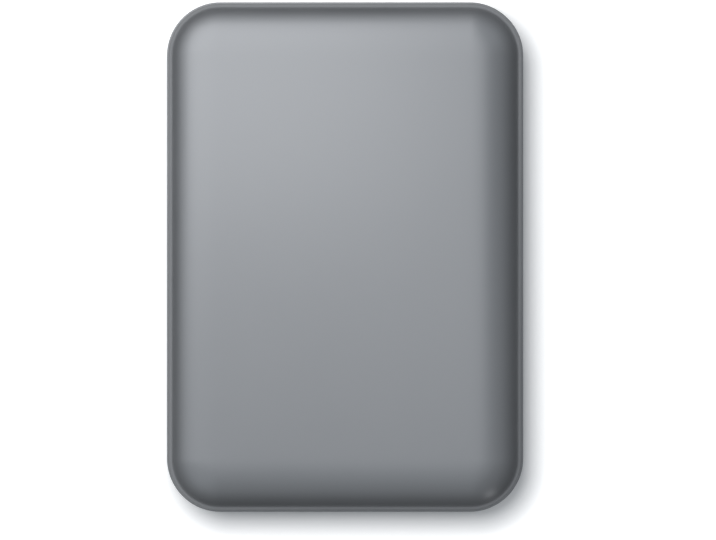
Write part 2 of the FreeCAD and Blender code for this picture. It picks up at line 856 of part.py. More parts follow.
def lobes(inset):
    """Section of the USB socket: a wide and a narrow lobe with bevelled feet, joined by a low neck."""
    half = "usb_width / 2"
    mitre = f"tan(22.5) * {inset}"
    bevel = f"(usb_chamfer + {mitre})"
    neck = f"usb_wide - {half}"
    slope = f"(usb_chamfer / 2 + {mitre})"
    roof = f"usb_height - {inset}"
    return [
        (f"{bevel} - {half}", inset),
        (f"{neck} - {slope}", inset),
        (f"{neck} - {mitre}", f"usb_neck_drop + {inset}"),
        (f"{neck} + usb_neck + {mitre}", f"usb_neck_drop + {inset}"),
        (f"{neck} + usb_neck + {slope}", inset),
        (f"{half} - {bevel}", inset),
        (f"{half} - {inset}", bevel),
        (f"{half} - {inset}", roof),
        (f"{inset} - {half}", roof),
        (f"{inset} - {half}", bevel),
    ]


def socket_prism(name, inset, depth, mouth):
    """The socket's section drawn back from its mouth."""
    body = doc.addObject("PartDesign::Body", name)
    sketch = sketch_on(body, f"{name}_section", "XZ_Plane")
    outline(sketch, lobes(inset))
    padded(body, sketch, depth)
    place(body, "usb_offset", mouth, "bridge_top")
    return body


part(
    "usb_shell",
    cut(
        "usb_shell",
        socket_prism("usb_can", "0", "usb_depth", "usb_mouth"),
        socket_prism("usb_hollow", "usb_sheet", "usb_depth + 2 * cutter_pass", "usb_mouth + cutter_pass"),
    ),
)
blade_depth = "usb_depth - usb_blade_setback"
blades = [
    block(
        f"usb_blade_{name}",
        (f"{width} - 2 * usb_blade_margin", blade_depth, "usb_blade"),
        (
            f"usb_offset + {way} * (usb_width - {width}) / 2",
            f"usb_mouth - usb_depth + ({blade_depth}) / 2",
            "usb_middle - usb_blade / 2",
        ),
    )
    for name, width, way in (("wide", "usb_wide", "-1"), ("narrow", "usb_narrow", "1"))
]
block_mouth = "usb_mouth - usb_depth + usb_block_depth"
usb_back = socket_prism("usb_back", "usb_sheet", "usb_block_depth", block_mouth)
part("usb_contact_block", joined("usb_contacts", usb_back, *blades))

# Serial connector: a plug on the drive and a receptacle on the USB board

notch_back = "drive_near - notch_depth"
plug_front = f"{notch_back} + sata_plug_depth"
board_bottom = "drive_bottom + board_rise"
board_top = f"{board_bottom} + board_thick"


def sata_blades(name, grow, length):
    """The two contact blades, or the slots that take them."""
    span = "sata_signal_width + sata_blade_space + sata_power_width"
    blades = []
    for key, width, way in (("signal", "sata_signal_width", "-1"), ("power", "sata_power_width", "1")):
        size = (f"{width} + 2 * {grow}", length, f"sata_blade_thick + 2 * {grow}")
        middle = (
            f"{way} * ({span} - {width}) / 2 - sata_shift",
            f"{plug_front} + ({length}) / 2 - sata_gap / 3",
            f"sata_blade_height - sata_blade_thick / 2 - {grow}",
        )
        blades.append(block(f"{name}_{key}", size, middle))
    return blades


plug = block(
    "sata_plug_block",
    ("sata_width + sata_gap", "sata_plug_depth", "sata_plug_height"),
    ("-sata_shift", f"{notch_back} + sata_plug_depth / 2", "drive_bottom + sata_gap"),
)
tails = block(
    "sata_plug_tails",
    ("sata_width - sata_tail", "2 * sata_tail", "sata_tail_thick"),
    ("-sata_shift", notch_back, board_top),
)
part("sata_plug", joined("sata_plug", plug, tails, *sata_blades("sata_blade", "0", "sata_blade_length")))
receptacle_depth = f"bridge_back + sata_tail - ({plug_front}) - sata_gap"
receptacle = block(
    "sata_receptacle_block",
    ("sata_width", receptacle_depth, "sata_height"),
    ("-sata_shift", f"{plug_front} + sata_gap + ({receptacle_depth}) / 2", "bridge_top"),
)
slots = sata_blades("sata_slot", "sata_blade_gap", "sata_blade_length + sata_gap")
part("sata_receptacle", cut("sata_receptacle", receptacle, *slots))

# Drive casting, lid and board

screw_spots = [
    (f"{sign} * (drive_width / 2 - screw_inset)", f"drive_middle + {way} * (drive_length / 2 - screw_inset)")
    for sign in SIDES.values()
    for way in ENDS.values()
]
lid_screw_spots = screw_spots + [("pivot_right", "pivot")]
head_seat = "lid_top - screw_sink"
screw_hole_tip = f"{head_seat} - screw_length - screw_tip_room"
board_back = "spindle + board_pocket_start"
board_length = f"{notch_back} - ({board_back})"
board_middle = f"{board_back} + ({board_length}) / 2"
board_screw_spots = [
    (
        f"{sign} * (board_pocket_side - board_margin - board_screw_inset)",
        f"{board_middle} + {way} * (({board_length}) / 2 - board_margin - board_screw_inset)",
    )
    for sign in SIDES.values()
    for way in ENDS.values()
]
pocket_roof = "drive_bottom + board_pocket"

casting = slab(
    "casting", "drive_width", "drive_length", "drive_corner", "base_height", ("0", "drive_middle", "drive_bottom")
)
well = rod("disc_well", "well_radius", "base_height", ("0", "spindle", "well_bottom"))
bay_length = "bay_end - spindle - bay_start"
bay = slab(
    "actuator_bay",
    "bay_left + bay_right",
    bay_length,
    "bay_corner",
    "base_height",
    ("(bay_right - bay_left) / 2", f"bay_end - ({bay_length}) / 2", "bay_bottom"),
)
pocket = block(
    "board_pocket_room",
    ("2 * board_pocket_side", board_length, "2 * board_pocket"),
    ("0", board_middle, "drive_bottom - board_pocket"),
)
notch = block(
    "connector_notch",
    ("notch_width", "2 * notch_depth", "2 * notch_height"),
    ("-sata_shift", "drive_near", "drive_bottom - notch_height"),
)
ramp_direction = "park_angle + (ramp_after - ramp_before) / 2"
ramp_half = "(ramp_before + ramp_after) / 2"
ramp_outer = "arm_length + tab_reach + ramp_end_gap + ramp_inner"
ramp_seat = about_pivot(
    "ramp_seat",
    "arm_length",
    f"{ramp_outer} + ramp_block + ramp_seat_gap",
    "base_height",
    "bay_bottom",
    ramp_direction,
    f"{ramp_half} + ramp_seat_angle",
)
side_holes = [
    rod(
        f"side_hole_{end}_{side}",
        "side_hole_radius",
        "2 * side_hole_depth",
        (f"{sign} * drive_width / 2 - side_hole_depth", spot, "drive_bottom + side_hole_height"),
        "90",
        ALONG_X,
    )
    for side, sign in SIDES.items()
    for end, spot in PAD_ENDS.items()
]
lid_holes = [
    rod(f"lid_screw_hole_{index}", "screw_radius + screw_gap", "screw_length + screw_sink", (x, y, screw_hole_tip))
    for index, (x, y) in enumerate(screw_spots)
]
board_holes = [
    rod(f"board_screw_hole_{index}", "screw_radius + screw_gap", "board_screw_length", (x, y, board_bottom))
    for index, (x, y) in enumerate(board_screw_spots)
]
bosses = [
    rod(f"board_boss_{index}", "board_boss_radius", f"{pocket_roof} + board_boss_root - ({board_top})", (x, y, board_top))
    for index, (x, y) in enumerate(board_screw_spots)
]
boss = rod("motor_boss", "motor_boss_radius", "motor_boss_top", ("0", "spindle", "drive_bottom"))
sleeve_hole = rod("sleeve_hole", "sleeve_radius", "base_height", ("0", "spindle", "drive_bottom - cutter_pass"))
hollowed = cut("hollowed_casting", casting, well, bay, pocket, notch, ramp_seat, *side_holes)
part(
    "drive_base",
    cut("drive_base", joined("bossed_casting", hollowed, boss, *bosses), sleeve_hole, *lid_holes, *board_holes),
)


def lid_plate(name, inset, height, bottom):
    """A plate of the lid's outline, drawn in by an inset."""
    sizes = [f"{size} - 2 * ({inset})" for size in ("drive_width", "drive_length")]
    corner = f"lid_corner + lid_inset - ({inset})"
    return slab(name, *sizes, corner, height, ("0", "drive_middle", bottom))


lid_step = rod("lid_step", "lid_step_radius", "lid_thick", ("0", "spindle", "lid_top - lid_step_depth"))
breather_spot = ("-breather_left", "spindle + breather_ahead")
breather_hole = rod("breather_hole", "screw_radius", "2 * lid_thick", (*breather_spot, "rim"))
lid_cuts = [lid_step, breather_hole]
for index, (x, y) in enumerate(lid_screw_spots):
    lid_cuts.append(rod(f"lid_hole_{index}", "screw_radius + screw_gap", "2 * lid_thick", (x, y, "rim")))
    lid_cuts.append(rod(f"lid_sink_{index}", "screw_head_radius + screw_sink_gap", "lid_thick", (x, y, head_seat)))
part("drive_lid", cut("drive_lid", lid_plate("lid", "lid_inset", "lid_thick", "lid_bottom"), *lid_cuts))
gasket_edge = "lid_inset + gasket_inset"
part(
    "lid_gasket",
    cut(
        "lid_gasket",
        lid_plate("gasket_outside", gasket_edge, "gasket_thick", "rim"),
        lid_plate("gasket_inside", f"{gasket_edge} + gasket_width", "2 * gasket_thick", "rim - gasket_thick / 2"),
    ),
)


def screw(name, seat, spot, length, head_height, way):
    """A screw whose head sits on a seat and whose shank runs the other way."""
    x, y = spot
    head = rod(f"{name}_head", "screw_head_radius", head_height, (x, y, seat if way > 0 else f"{seat} - {head_height}"))
    shank = rod(
        f"{name}_shank",
        "screw_radius",
        f"{length} + {head_height} / 2",
        (x, y, f"{seat} - {length}" if way > 0 else f"{seat} - {head_height} / 2"),
    )
    depth = f"{head_height} * screw_slot_share"
    face = f"{seat} + {head_height} - {depth}" if way > 0 else f"{seat} - {head_height}"
    slots = [
        block(f"{name}_slot_{turn}", ("screw_slot_length", "screw_slot_width", depth), (x, y, face), turn)
        for turn in ("0", "90")
    ]
    return cut(name, joined(f"{name}_solid", head, shank), *slots)


part(
    "lid_screws",
    group(
        "lid_screws",
        *(
            screw(f"lid_screw_{index}", head_seat, spot, "screw_length", "screw_head_height", 1)
            for index, spot in enumerate(lid_screw_spots)
        ),
    ),
)
part(
    "board_screws",
    group(
        "board_screws",
        *(
            screw(f"board_screw_{index}", board_bottom, spot, "board_screw_length - screw_tip_room", "board_screw_head", -1)
            for index, spot in enumerate(board_screw_spots)
        ),
    ),
)
board_plate = block(
    "board_plate",
    ("2 * (board_pocket_side - board_margin)", f"{board_length} - 2 * board_margin", "board_thick"),
    ("0", board_middle, board_bottom),
)
board_cuts = [
    rod(f"board_hole_{index}", "screw_radius + screw_gap", "3 * board_thick", (x, y, "drive_bottom - board_thick"))
    for index, (x, y) in enumerate(board_screw_spots)
]
part("drive_board", cut("drive_board", board_plate, *board_cuts))
for name, length, width, x in (
    ("drive_controller", "soc_size", "soc_size", "-board_chip_pitch / 2"),
    ("motor_driver", "driver_size", "driver_size", "board_chip_pitch / 2"),
    ("cache_memory", "cache_length", "cache_width", "-1.5 * board_chip_pitch"),
):
    spot = (x, f"{board_back} + board_chip_row", board_top)
    part(name, block(name, (length, width, "board_chip_height"), spot))

# Spindle motor and disc

spin = ("0", "spindle", "0")
web = "hub_top - hub_web"
sleeve_bottom = "drive_bottom + sleeve_gap"
bore = "shaft_radius + shaft_fit"
part(
    "spindle_sleeve",
    turned(
        "spindle_sleeve",
        [
            ("0", sleeve_bottom),
            ("sleeve_radius", sleeve_bottom),
            ("sleeve_radius", f"{web} - sleeve_gap"),
            (bore, f"{web} - sleeve_gap"),
            (bore, f"{sleeve_bottom} + sleeve_floor"),
            ("0", f"{sleeve_bottom} + sleeve_floor"),
        ],
        spin,
    ),
)
shaft_bottom = f"{sleeve_bottom} + sleeve_floor + shaft_fit"
screw_hole = "clamp_screw_radius + screw_gap"
screw_hole_floor = "hub_top - clamp_screw_length - screw_gap"
part(
    "spindle_shaft",
    turned(
        "spindle_shaft",
        [
            ("0", shaft_bottom),
            ("shaft_radius", shaft_bottom),
            ("shaft_radius", "hub_top"),
            (screw_hole, "hub_top"),
            (screw_hole, screw_hole_floor),
            ("0", screw_hole_floor),
        ],
        spin,
    ),
)
part(
    "spindle_hub",
    turned(
        "spindle_hub",
        [
            ("shaft_radius", web),
            ("cup_radius", web),
            ("cup_radius", "hub_bottom"),
            ("hub_radius", "hub_bottom"),
            ("hub_radius", "disc_bottom - flange_thick"),
            ("flange_radius", "disc_bottom - flange_thick"),
            ("flange_radius", "disc_bottom"),
            ("hub_radius", "disc_bottom"),
            ("hub_radius", "hub_top"),
            ("shaft_radius", "hub_top"),
        ],
        spin,
    ),
)
part("platter", ring("platter", "disc_bore", "disc_radius", "disc_thick", ("0", "spindle", "disc_bottom")))
clamp_top = "hub_top + clamp_thick"
clamp_plate = turned(
    "clamp_plate",
    [
        (screw_hole, "hub_top"),
        ("clamp_radius - clamp_rim", "hub_top"),
        ("clamp_radius - clamp_rim", "disc_top"),
        ("clamp_radius", "disc_top"),
        ("clamp_radius", clamp_top),
        (screw_hole, clamp_top),
    ],
    spin,
)
clamp_holes = []
for index in range(SIZES["clamp_hole_count"]):
    angle = f"{index} * 360 / clamp_hole_count"
    spot = (f"clamp_hole_circle * cos({angle})", f"spindle + clamp_hole_circle * sin({angle})", "hub_top")
    clamp_holes.append(rod(f"clamp_hole_{index}", "clamp_hole_radius", "2 * clamp_thick", spot))
part("disc_clamp", cut("disc_clamp", clamp_plate, *clamp_holes))
part(
    "clamp_screw",
    turned(
        "clamp_screw",
        [
            ("0", "hub_top - clamp_screw_length + clamp_thick"),
            ("clamp_screw_radius", "hub_top - clamp_screw_length + clamp_thick"),
            ("clamp_screw_radius", clamp_top),
            ("clamp_head_radius", clamp_top),
            ("clamp_head_radius", f"{clamp_top} + clamp_head_height"),
            ("clamp_screw_radius", f"{clamp_top} + clamp_head_height"),
            ("clamp_screw_radius", f"{clamp_top} + clamp_head_height / 2"),
            ("0", f"{clamp_top} + clamp_head_height / 2"),
        ],
        spin,
    ),
)
magnet_outer = "cup_radius - seat_fit"
part(
    "rotor_magnet",
    ring(
        "rotor_magnet",
        f"{magnet_outer} - magnet_ring",
        "cup_radius",
        "magnet_ring_height",
        ("0", "spindle", "hub_bottom + sleeve_gap"),
    ),
)
tooth_start = "sleeve_radius + stator_yoke / 2"
tooth_length = f"stator_radius - ({tooth_start})"
tooth_radius = f"({tooth_start} + ({tooth_length}) / 2)"
winding_radius = "(stator_radius - winding_end_gap - winding_length / 2)"


def on_stator(name, size, radius, bottom, index):
    """A block on one of the stator's teeth."""
    angle = f"{index} * 360 / tooth_count"
    return block(name, size, (f"{radius} * cos({angle})", f"spindle + {radius} * sin({angle})", bottom), angle)


def stator_teeth(name):
    """The bars that stand out from the stator's ring."""
    size = (tooth_length, "tooth_width", "stator_height")
    return [
        on_stator(f"{name}_{index}", size, tooth_radius, "stator_bottom", index) for index in range(SIZES["tooth_count"])
    ]


stator_ring = ring(
    "stator_ring",
    "sleeve_radius",
    "sleeve_radius + stator_yoke",
    "stator_height",
    ("0", "spindle", "stator_bottom"),
)
part("stator_core", joined("stator_core", stator_ring, *stator_teeth("tooth")))
winding_size = ("winding_length", "tooth_width + 2 * winding_wall", "stator_height + 2 * winding_wall")
coils = [
    on_stator(f"winding_{index}", winding_size, winding_radius, "stator_bottom - winding_wall", index)
    for index in range(SIZES["tooth_count"])
]
lead = ring(
    "winding_lead",
    f"{winding_radius} - winding_wall",
    f"{winding_radius} + winding_wall",
    "winding_wall / 2",
    ("0", "spindle", "stator_bottom + stator_height + winding_wall / 2"),
)
part("stator_windings", cut("stator_windings", joined("winding_set", lead, *coils), *stator_teeth("winding_core")))

# Head actuator, parked

pivot_pin = rod("pivot_pin", "pivot_radius", "lid_bottom - bay_bottom", (*pivot_foot, "bay_bottom"))
pin_hole = rod("pivot_pin_hole", "screw_radius + screw_gap", "screw_length", (*pivot_foot, screw_hole_tip))
part("pivot_shaft", cut("pivot_shaft", pivot_pin, pin_hole))
part(
    "pivot_sleeve",
    ring(
        "pivot_sleeve",
        "pivot_radius + shaft_fit",
        "pivot_sleeve_radius",
        "block_top - block_bottom",
        (*pivot_foot, "block_bottom"),
    ),
)
hub = rod("pivot_hub", "pivot_hub_radius", "block_top - block_bottom", (*pivot_foot, "block_bottom"))
hub_bore = rod("pivot_bore", "pivot_sleeve_radius", "base_height", (*pivot_foot, "bay_bottom"))
arm_outline = [("0", "-arm_root"), ("arm_reach", "-arm_tip"), ("arm_reach", "arm_tip"), ("0", "arm_root")]
arms = [
    prism(f"{level}_arm", arm_outline, "arm_thick", (*pivot_foot, f"{level}_arm"), "park_angle")
    for level in ("upper", "lower")
]
window_ends = ("arm_window_start", "arm_window_end")
half_windows = [f"arm_root - (arm_root - arm_tip) * {end} / arm_reach - arm_window_rail" for end in window_ends]
window_outline = [(end, f"-({half})") for end, half in zip(window_ends, half_windows)]
window_outline += [(end, half) for end, half in zip(window_ends[::-1], half_windows[::-1])]
window_height = "upper_arm + 2 * arm_thick - lower_arm"
arm_window = prism(
    "arm_window", window_outline, window_height, (*pivot_foot, "lower_arm - arm_thick / 2"), "park_angle"
)
part("actuator_block", cut("actuator_block", joined("hub_and_arms", hub, *arms), hub_bore, arm_window))
tip = "arm_length + tab_reach"
spring_outline = [
    ("suspension_start", "-suspension_root"),
    (tip, "-suspension_tip"),
    (tip, "suspension_tip"),
    ("suspension_start", "suspension_root"),
]
head_spot = ("pivot_right + arm_length * cos(park_angle)", "pivot + arm_length * sin(park_angle)")
head_height = "arm_air - suspension_thick - head_gap"
for level, spring_z, head_z in (
    ("upper", "upper_arm - suspension_thick", "disc_top + head_gap"),
    ("lower", "lower_arm + arm_thick", f"disc_bottom - head_gap - ({head_height})"),
):
    name = f"{level}_suspension"
    part(name, prism(name, spring_outline, "suspension_thick", (*pivot_foot, spring_z), "park_angle"))
    head = block(f"{level}_head", ("head_length", "head_width", head_height), (*head_spot, head_z), "park_angle")
    part(f"{level}_head", head)

# Voice coil motor

coil_direction = "park_angle + coil_turn"
coil_bottom = "coil_middle - coil_thick / 2"
coil_window = about_pivot(
    "coil_window",
    "coil_inner + coil_wire",
    "coil_outer - coil_wire",
    "2 * coil_thick",
    "coil_middle - coil_thick",
    coil_direction,
    "coil_half_angle - coil_wire_angle",
)
coil_span = ("coil_inner", "coil_outer")
coil_solid = about_pivot("coil_solid", *coil_span, "coil_thick", coil_bottom, coil_direction, "coil_half_angle")
part("voice_coil", cut("voice_coil", coil_solid, coil_window))
frame_solid = about_pivot(
    "frame_solid",
    "pivot_hub_radius",
    "coil_outer + frame_wall",
    "frame_thick",
    "coil_middle - frame_thick / 2",
    coil_direction,
    "frame_half_angle",
)
coil_room = about_pivot("coil_room", *coil_span, "coil_thick", coil_bottom, coil_direction, "coil_half_angle")
part("coil_frame", cut("coil_frame", frame_solid, coil_room))
yoke_span = ("yoke_inner", "yoke_outer")
plates = [
    about_pivot(f"{level}_plate", *yoke_span, "yoke_thick", bottom, "yoke_direction", "yoke_half_angle")
    for level, bottom in (("lower", "bay_bottom"), ("upper", "upper_yoke_bottom"))
]
part("lower_yoke", plates[0])
legs = [
    about_pivot(
        f"yoke_leg_{side}",
        "yoke_inner + 4 * yoke_thick",
        "yoke_outer - 2 * yoke_thick",
        "upper_yoke_bottom - bay_bottom",
        "bay_bottom + yoke_thick",
        f"yoke_direction + {sign} * (yoke_half_angle - yoke_leg_angle / 2)",
        "yoke_leg_angle / 2",
    )
    for side, sign in SIDES.items()
]
part("upper_yoke", joined("upper_yoke", plates[1], *legs))
magnet_span = ("yoke_inner + yoke_thick", "yoke_outer - yoke_thick")
magnet_angle = "yoke_half_angle - yoke_leg_angle - magnet_leg_angle"
for name, bottom in (
    ("lower_magnet", "bay_bottom + yoke_thick"),
    ("upper_magnet", "upper_yoke_bottom - magnet_thick"),
):
    part(name, about_pivot(name, *magnet_span, "magnet_thick", bottom, "yoke_direction", magnet_angle))

# Ramp that the heads park on

ramp_bottom = "lower_arm + arm_thick + suspension_thick + ramp_gap"
ramp_top = "upper_arm - suspension_thick - ramp_gap"
jaws = about_pivot(
    "ramp_jaws",
    "arm_length + ramp_inner",
    ramp_outer,
    f"{ramp_top} - ({ramp_bottom})",
    ramp_bottom,
    ramp_direction,
    ramp_half,
)
disc_room = rod(
    "ramp_disc_room",
    "disc_radius + ramp_disc_gap",
    "disc_thick + 2 * ramp_slot_gap",
    ("0", "spindle", "disc_bottom - ramp_slot_gap"),
)
ramp_foot = about_pivot(
    "ramp_foot",
    "arm_length + tab_reach + ramp_end_gap",
    f"{ramp_outer} + ramp_block",
    f"{ramp_top} - bay_bottom",
    "bay_bottom",
    ramp_direction,
    ramp_half,
)
well_room = rod("ramp_well_room", "well_radius + ramp_slot_gap", "base_height", ("0", "spindle", "well_bottom"))
part("load_ramp", joined("load_ramp", cut("ramp_slotted", jaws, disc_room), cut("ramp_post", ramp_foot, well_room)))

# Filters and the bracket of the heads' flexible lead

part(
    "breather_filter",
    rod(
        "breather_filter",
        "breather_radius",
        "breather_height",
        (*breather_spot, "lid_bottom - breather_height"),
    ),
)
part(
    "air_filter",
    block(
        "air_filter",
        ("filter_length", "filter_width", "filter_height"),
        ("filter_right", "spindle + filter_ahead", "bay_bottom"),
        "-45",
    ),
)
part(
    "flex_bracket",
    block(
        "flex_bracket",
        ("bracket_length", "bracket_width", "bracket_height"),
        ("-bracket_left", "spindle + bracket_ahead", "bay_bottom"),
    ),
)

# Check and write every sub-part

doc.recompute()
for thing in doc.Objects:
    if any(word in thing.State for word in ("Invalid", "Error")):
        raise RuntimeError(f"{thing.Name} failed: {thing.State}")
os.makedirs("parts", exist_ok=True)
for thing in finished:
    if thing.Shape.isNull() or not thing.Shape.isValid():
        raise RuntimeError(f"{thing.Label} has no valid shape")
    thing.Shape.exportStep(f"parts/{thing.Label}.step")
    print(thing.Label, len(thing.Shape.Solids), round(thing.Shape.Volume, 2))
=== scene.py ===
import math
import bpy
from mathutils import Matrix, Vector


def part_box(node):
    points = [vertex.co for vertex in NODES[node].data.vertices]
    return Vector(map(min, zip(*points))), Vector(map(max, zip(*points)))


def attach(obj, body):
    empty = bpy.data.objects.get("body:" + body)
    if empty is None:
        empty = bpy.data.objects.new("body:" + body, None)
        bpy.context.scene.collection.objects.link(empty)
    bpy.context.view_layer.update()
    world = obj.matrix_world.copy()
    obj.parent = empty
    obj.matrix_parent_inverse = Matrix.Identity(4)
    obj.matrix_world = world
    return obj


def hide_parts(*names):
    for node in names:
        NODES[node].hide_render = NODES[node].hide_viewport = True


bl_info = {
    "name": "External hard drive",
    "version": (1, 0, 0),
    "blender": (4, 5, 0),
    "location": "View3D > Sidebar > Drive",
    "description": "Moulded case, socket and finishes of a portable hard drive, on a white studio table",
    "category": "Object",
}

import bmesh
import bpy
import numpy as np
from bpy.props import FloatProperty, FloatVectorProperty, IntProperty, PointerProperty

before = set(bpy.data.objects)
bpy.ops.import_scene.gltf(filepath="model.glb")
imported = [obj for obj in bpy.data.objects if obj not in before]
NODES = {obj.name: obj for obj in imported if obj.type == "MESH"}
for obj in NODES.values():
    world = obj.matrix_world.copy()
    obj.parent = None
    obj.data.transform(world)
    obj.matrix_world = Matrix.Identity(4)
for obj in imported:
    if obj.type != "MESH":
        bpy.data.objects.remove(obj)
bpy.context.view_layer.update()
CASE_BODY = "case"
MM = 0.001

# Places read from the frame, in millimetres


def spans(node):
    """A node's lowest and highest corner."""
    low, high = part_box(node)
    return np.array(low) / MM, np.array(high) / MM


def middle_of(node):
    """The point halfway between those corners."""
    return np.mean(spans(node), axis=0)


TRAY_LOW, TRAY_HIGH = spans("bottom_cover")
COVER_TOP = spans("top_cover")[1][2]
SOCKET_LOW, SOCKET_HIGH = spans("usb_shell")
SOCKET_MIDDLE = middle_of("usb_shell")
PIPE_LOW, PIPE_HIGH = spans("light_pipe")
PIPE_MIDDLE = middle_of("light_pipe")
HALF_X, HALF_Y, SEAM = TRAY_HIGH
FEET = ("foot_port_left", "foot_port_right", "foot_far_left", "foot_far_right")
PADS = ("shock_pad_port_left", "shock_pad_port_right", "shock_pad_far_left", "shock_pad_far_right")

# Seam, in millimetres: the cover's lip and snap beads, and the groove in the tray's rim
LIP_GAP = 0.1
LIP_THICK = 0.9
LIP_DROP = 2.0
LIP_RISE = 1.2
LIP_ROUND = 0.2
BEAD_LENGTH = 8.0
BEAD_HEIGHT = 0.6
BEAD_PROUD = 0.35
BEAD_PITCH = 30.0
SEAM_ROUND = 0.12
RIM_ROUND = 0.25
RIM_BEVEL = 0.15
GROOVE_FROM = 0.27
GROOVE_TO = 0.5
GROOVE_DEEP = 0.35
GROOVE_SLANT = 0.04

# Ribs, posts and cradles inside the case, in millimetres
RIB_SIDE = 18.0
RIB_THICK = 1.2
RIB_LENGTH = 80.0
RIB_GAP = 0.3
ROOT = 0.4
POST_RADIUS = 1.5
POST_REACH = 25.0
POST_SPREAD = 24.0
BOARD_POST_RADIUS = 1.2
BOARD_POST_PITCH = 24.0
BOARD_POST_BACK = 2.0
CRADLE_X = 36.05
CRADLE_THICK = 1.5
CRADLE_RIB = 1.0
CRADLE_GAP = 0.2
PAD_GAP = 0.2

# Openings, feet, socket and light window, in millimetres
OPENING_GAP = 0.3
OPENING_ROUND = 0.15
OPENING_CORNER = 0.8
OPENING_ROOM = 1.2
SLOT_GAP = 0.1
SLOT_CORNER = 0.3
SLOT_BLOCK = 2.5
RECESS_GAP = 0.05
FOOT_BLOCK = 5.5
FOOT_ROUND = 0.35
FOOT_RIM = 1.0
FOOT_DISH = 0.12
TONGUE_THICK = 0.6
CONTACT_WIDTH = 0.3
CONTACT_PROUD = 0.05
CONTACT_TIP = 0.4
CONTACT_BACK = 1.8
WINDOW_CORNER = 0.25
WINDOW_ROUND = 0.2

# Surfaces: a hair's breadth and the height of the tray's bend in millimetres, shares, and numbers of rows
TOUCH = 0.01
TRAY_BEND = 0.9
LIP_STUB = 0.05
DISH_REACH = 0.9
CAP_SQUARE = 0.7
END_ROUND = 0.7
COVER_ROWS = 28
CEILING_ROWS = 20
TRAY_ROWS = 24
WALL_ROWS = 27

# Stage: the picture's width in pixels, a direction, and the table's reach in metres
PICTURE_WIDTH = 716
LOWER_RIGHT = (0.707, -0.707, 0)
TABLE_REACH = 6.0

# Where the ramps of the table, in metres, and of the sky begin and end
TABLE_FAR = (0.11, 0.32)
# Painted shade: span over which the table's mirrored white fades out towards the lower right
TABLE_PAINTED_SHADE = (0.01, 0.05)
# Painted light: depths inside the outline over which the table starts to glow for reflections under the
# object
TABLE_UNDER = (0.002, 0.006)
SKY_RISE = (0, 0.65)
SKY_DARK_SIDE = (0.05, 0.7)

# Share of the table's mirrored white that is lost away from the object
FAR_LOSS = 0.85

# Length of one band of a Wave texture whose scale is 1
WAVE_BAND = 0.314


# Settings that a user would change


class CaseSettings(bpy.types.PropertyGroup):
    """Sizes, in millimetres, and colour of the moulded case"""

    wall: FloatProperty(name="Wall", description="Thickness of the moulded wall", default=1.5, min=0.8, max=3)
    corner: FloatProperty(name="Corner", description="Plan radius of the corners", default=12, min=8, max=20)
    seam_step: FloatProperty(
        name="Seam step", description="How far the cover is inside the tray's rim", default=0.3
    )
    cover_edge: FloatProperty(name="Cover edge", description="Width of the cover's rolled edge", default=10)
    cover_ease: FloatProperty(
        name="Cover ease", description="Half the width over which the bend begins", default=4
    )
    cover_side: FloatProperty(name="Cover side", description="Radius low on the cover's side", default=3.5)
    cover_land: FloatProperty(name="Cover land", description="Upright part of the cover's side", default=0.4)
    tray_edge: FloatProperty(name="Tray edge", description="Width of the tray's rolled edge", default=7)
    tray_side: FloatProperty(name="Tray side", description="Radius high on the tray's side", default=3)
    tray_land: FloatProperty(name="Tray land", description="Upright part of the tray's side", default=3.3)
    arc_steps: IntProperty(name="Arc steps", description="Faces round each corner", default=32, min=8, max=64)
    colour: FloatVectorProperty(
        name="Colour",
        description="Colour of the metallic grey lacquer",
        subtype="COLOR",
        size=3,
        min=0,
        max=1,
        default=(0.262, 0.2665, 0.2755),
    )


class SocketSettings(bpy.types.PropertyGroup):
    """Section of the USB socket, in millimetres"""

    wide: FloatProperty(name="Wide lobe", description="Width of the wide lobe", default=7.4)
    neck: FloatProperty(name="Neck", description="Width of the low neck between the lobes", default=0.5)
    neck_rise: FloatProperty(name="Neck rise", description="How far the neck's floor is raised", default=0.6)
    chamfer: FloatProperty(name="Chamfer", description="Bevel of the lower corners", default=0.8)
    sheet: FloatProperty(name="Sheet", description="Thickness of the folded steel", default=0.25)
    bend: FloatProperty(name="Bend", description="Outside radius of the folds", default=0.35)
    contact_pitch: FloatProperty(name="Contact pitch", description="Distance between contacts", default=0.65)


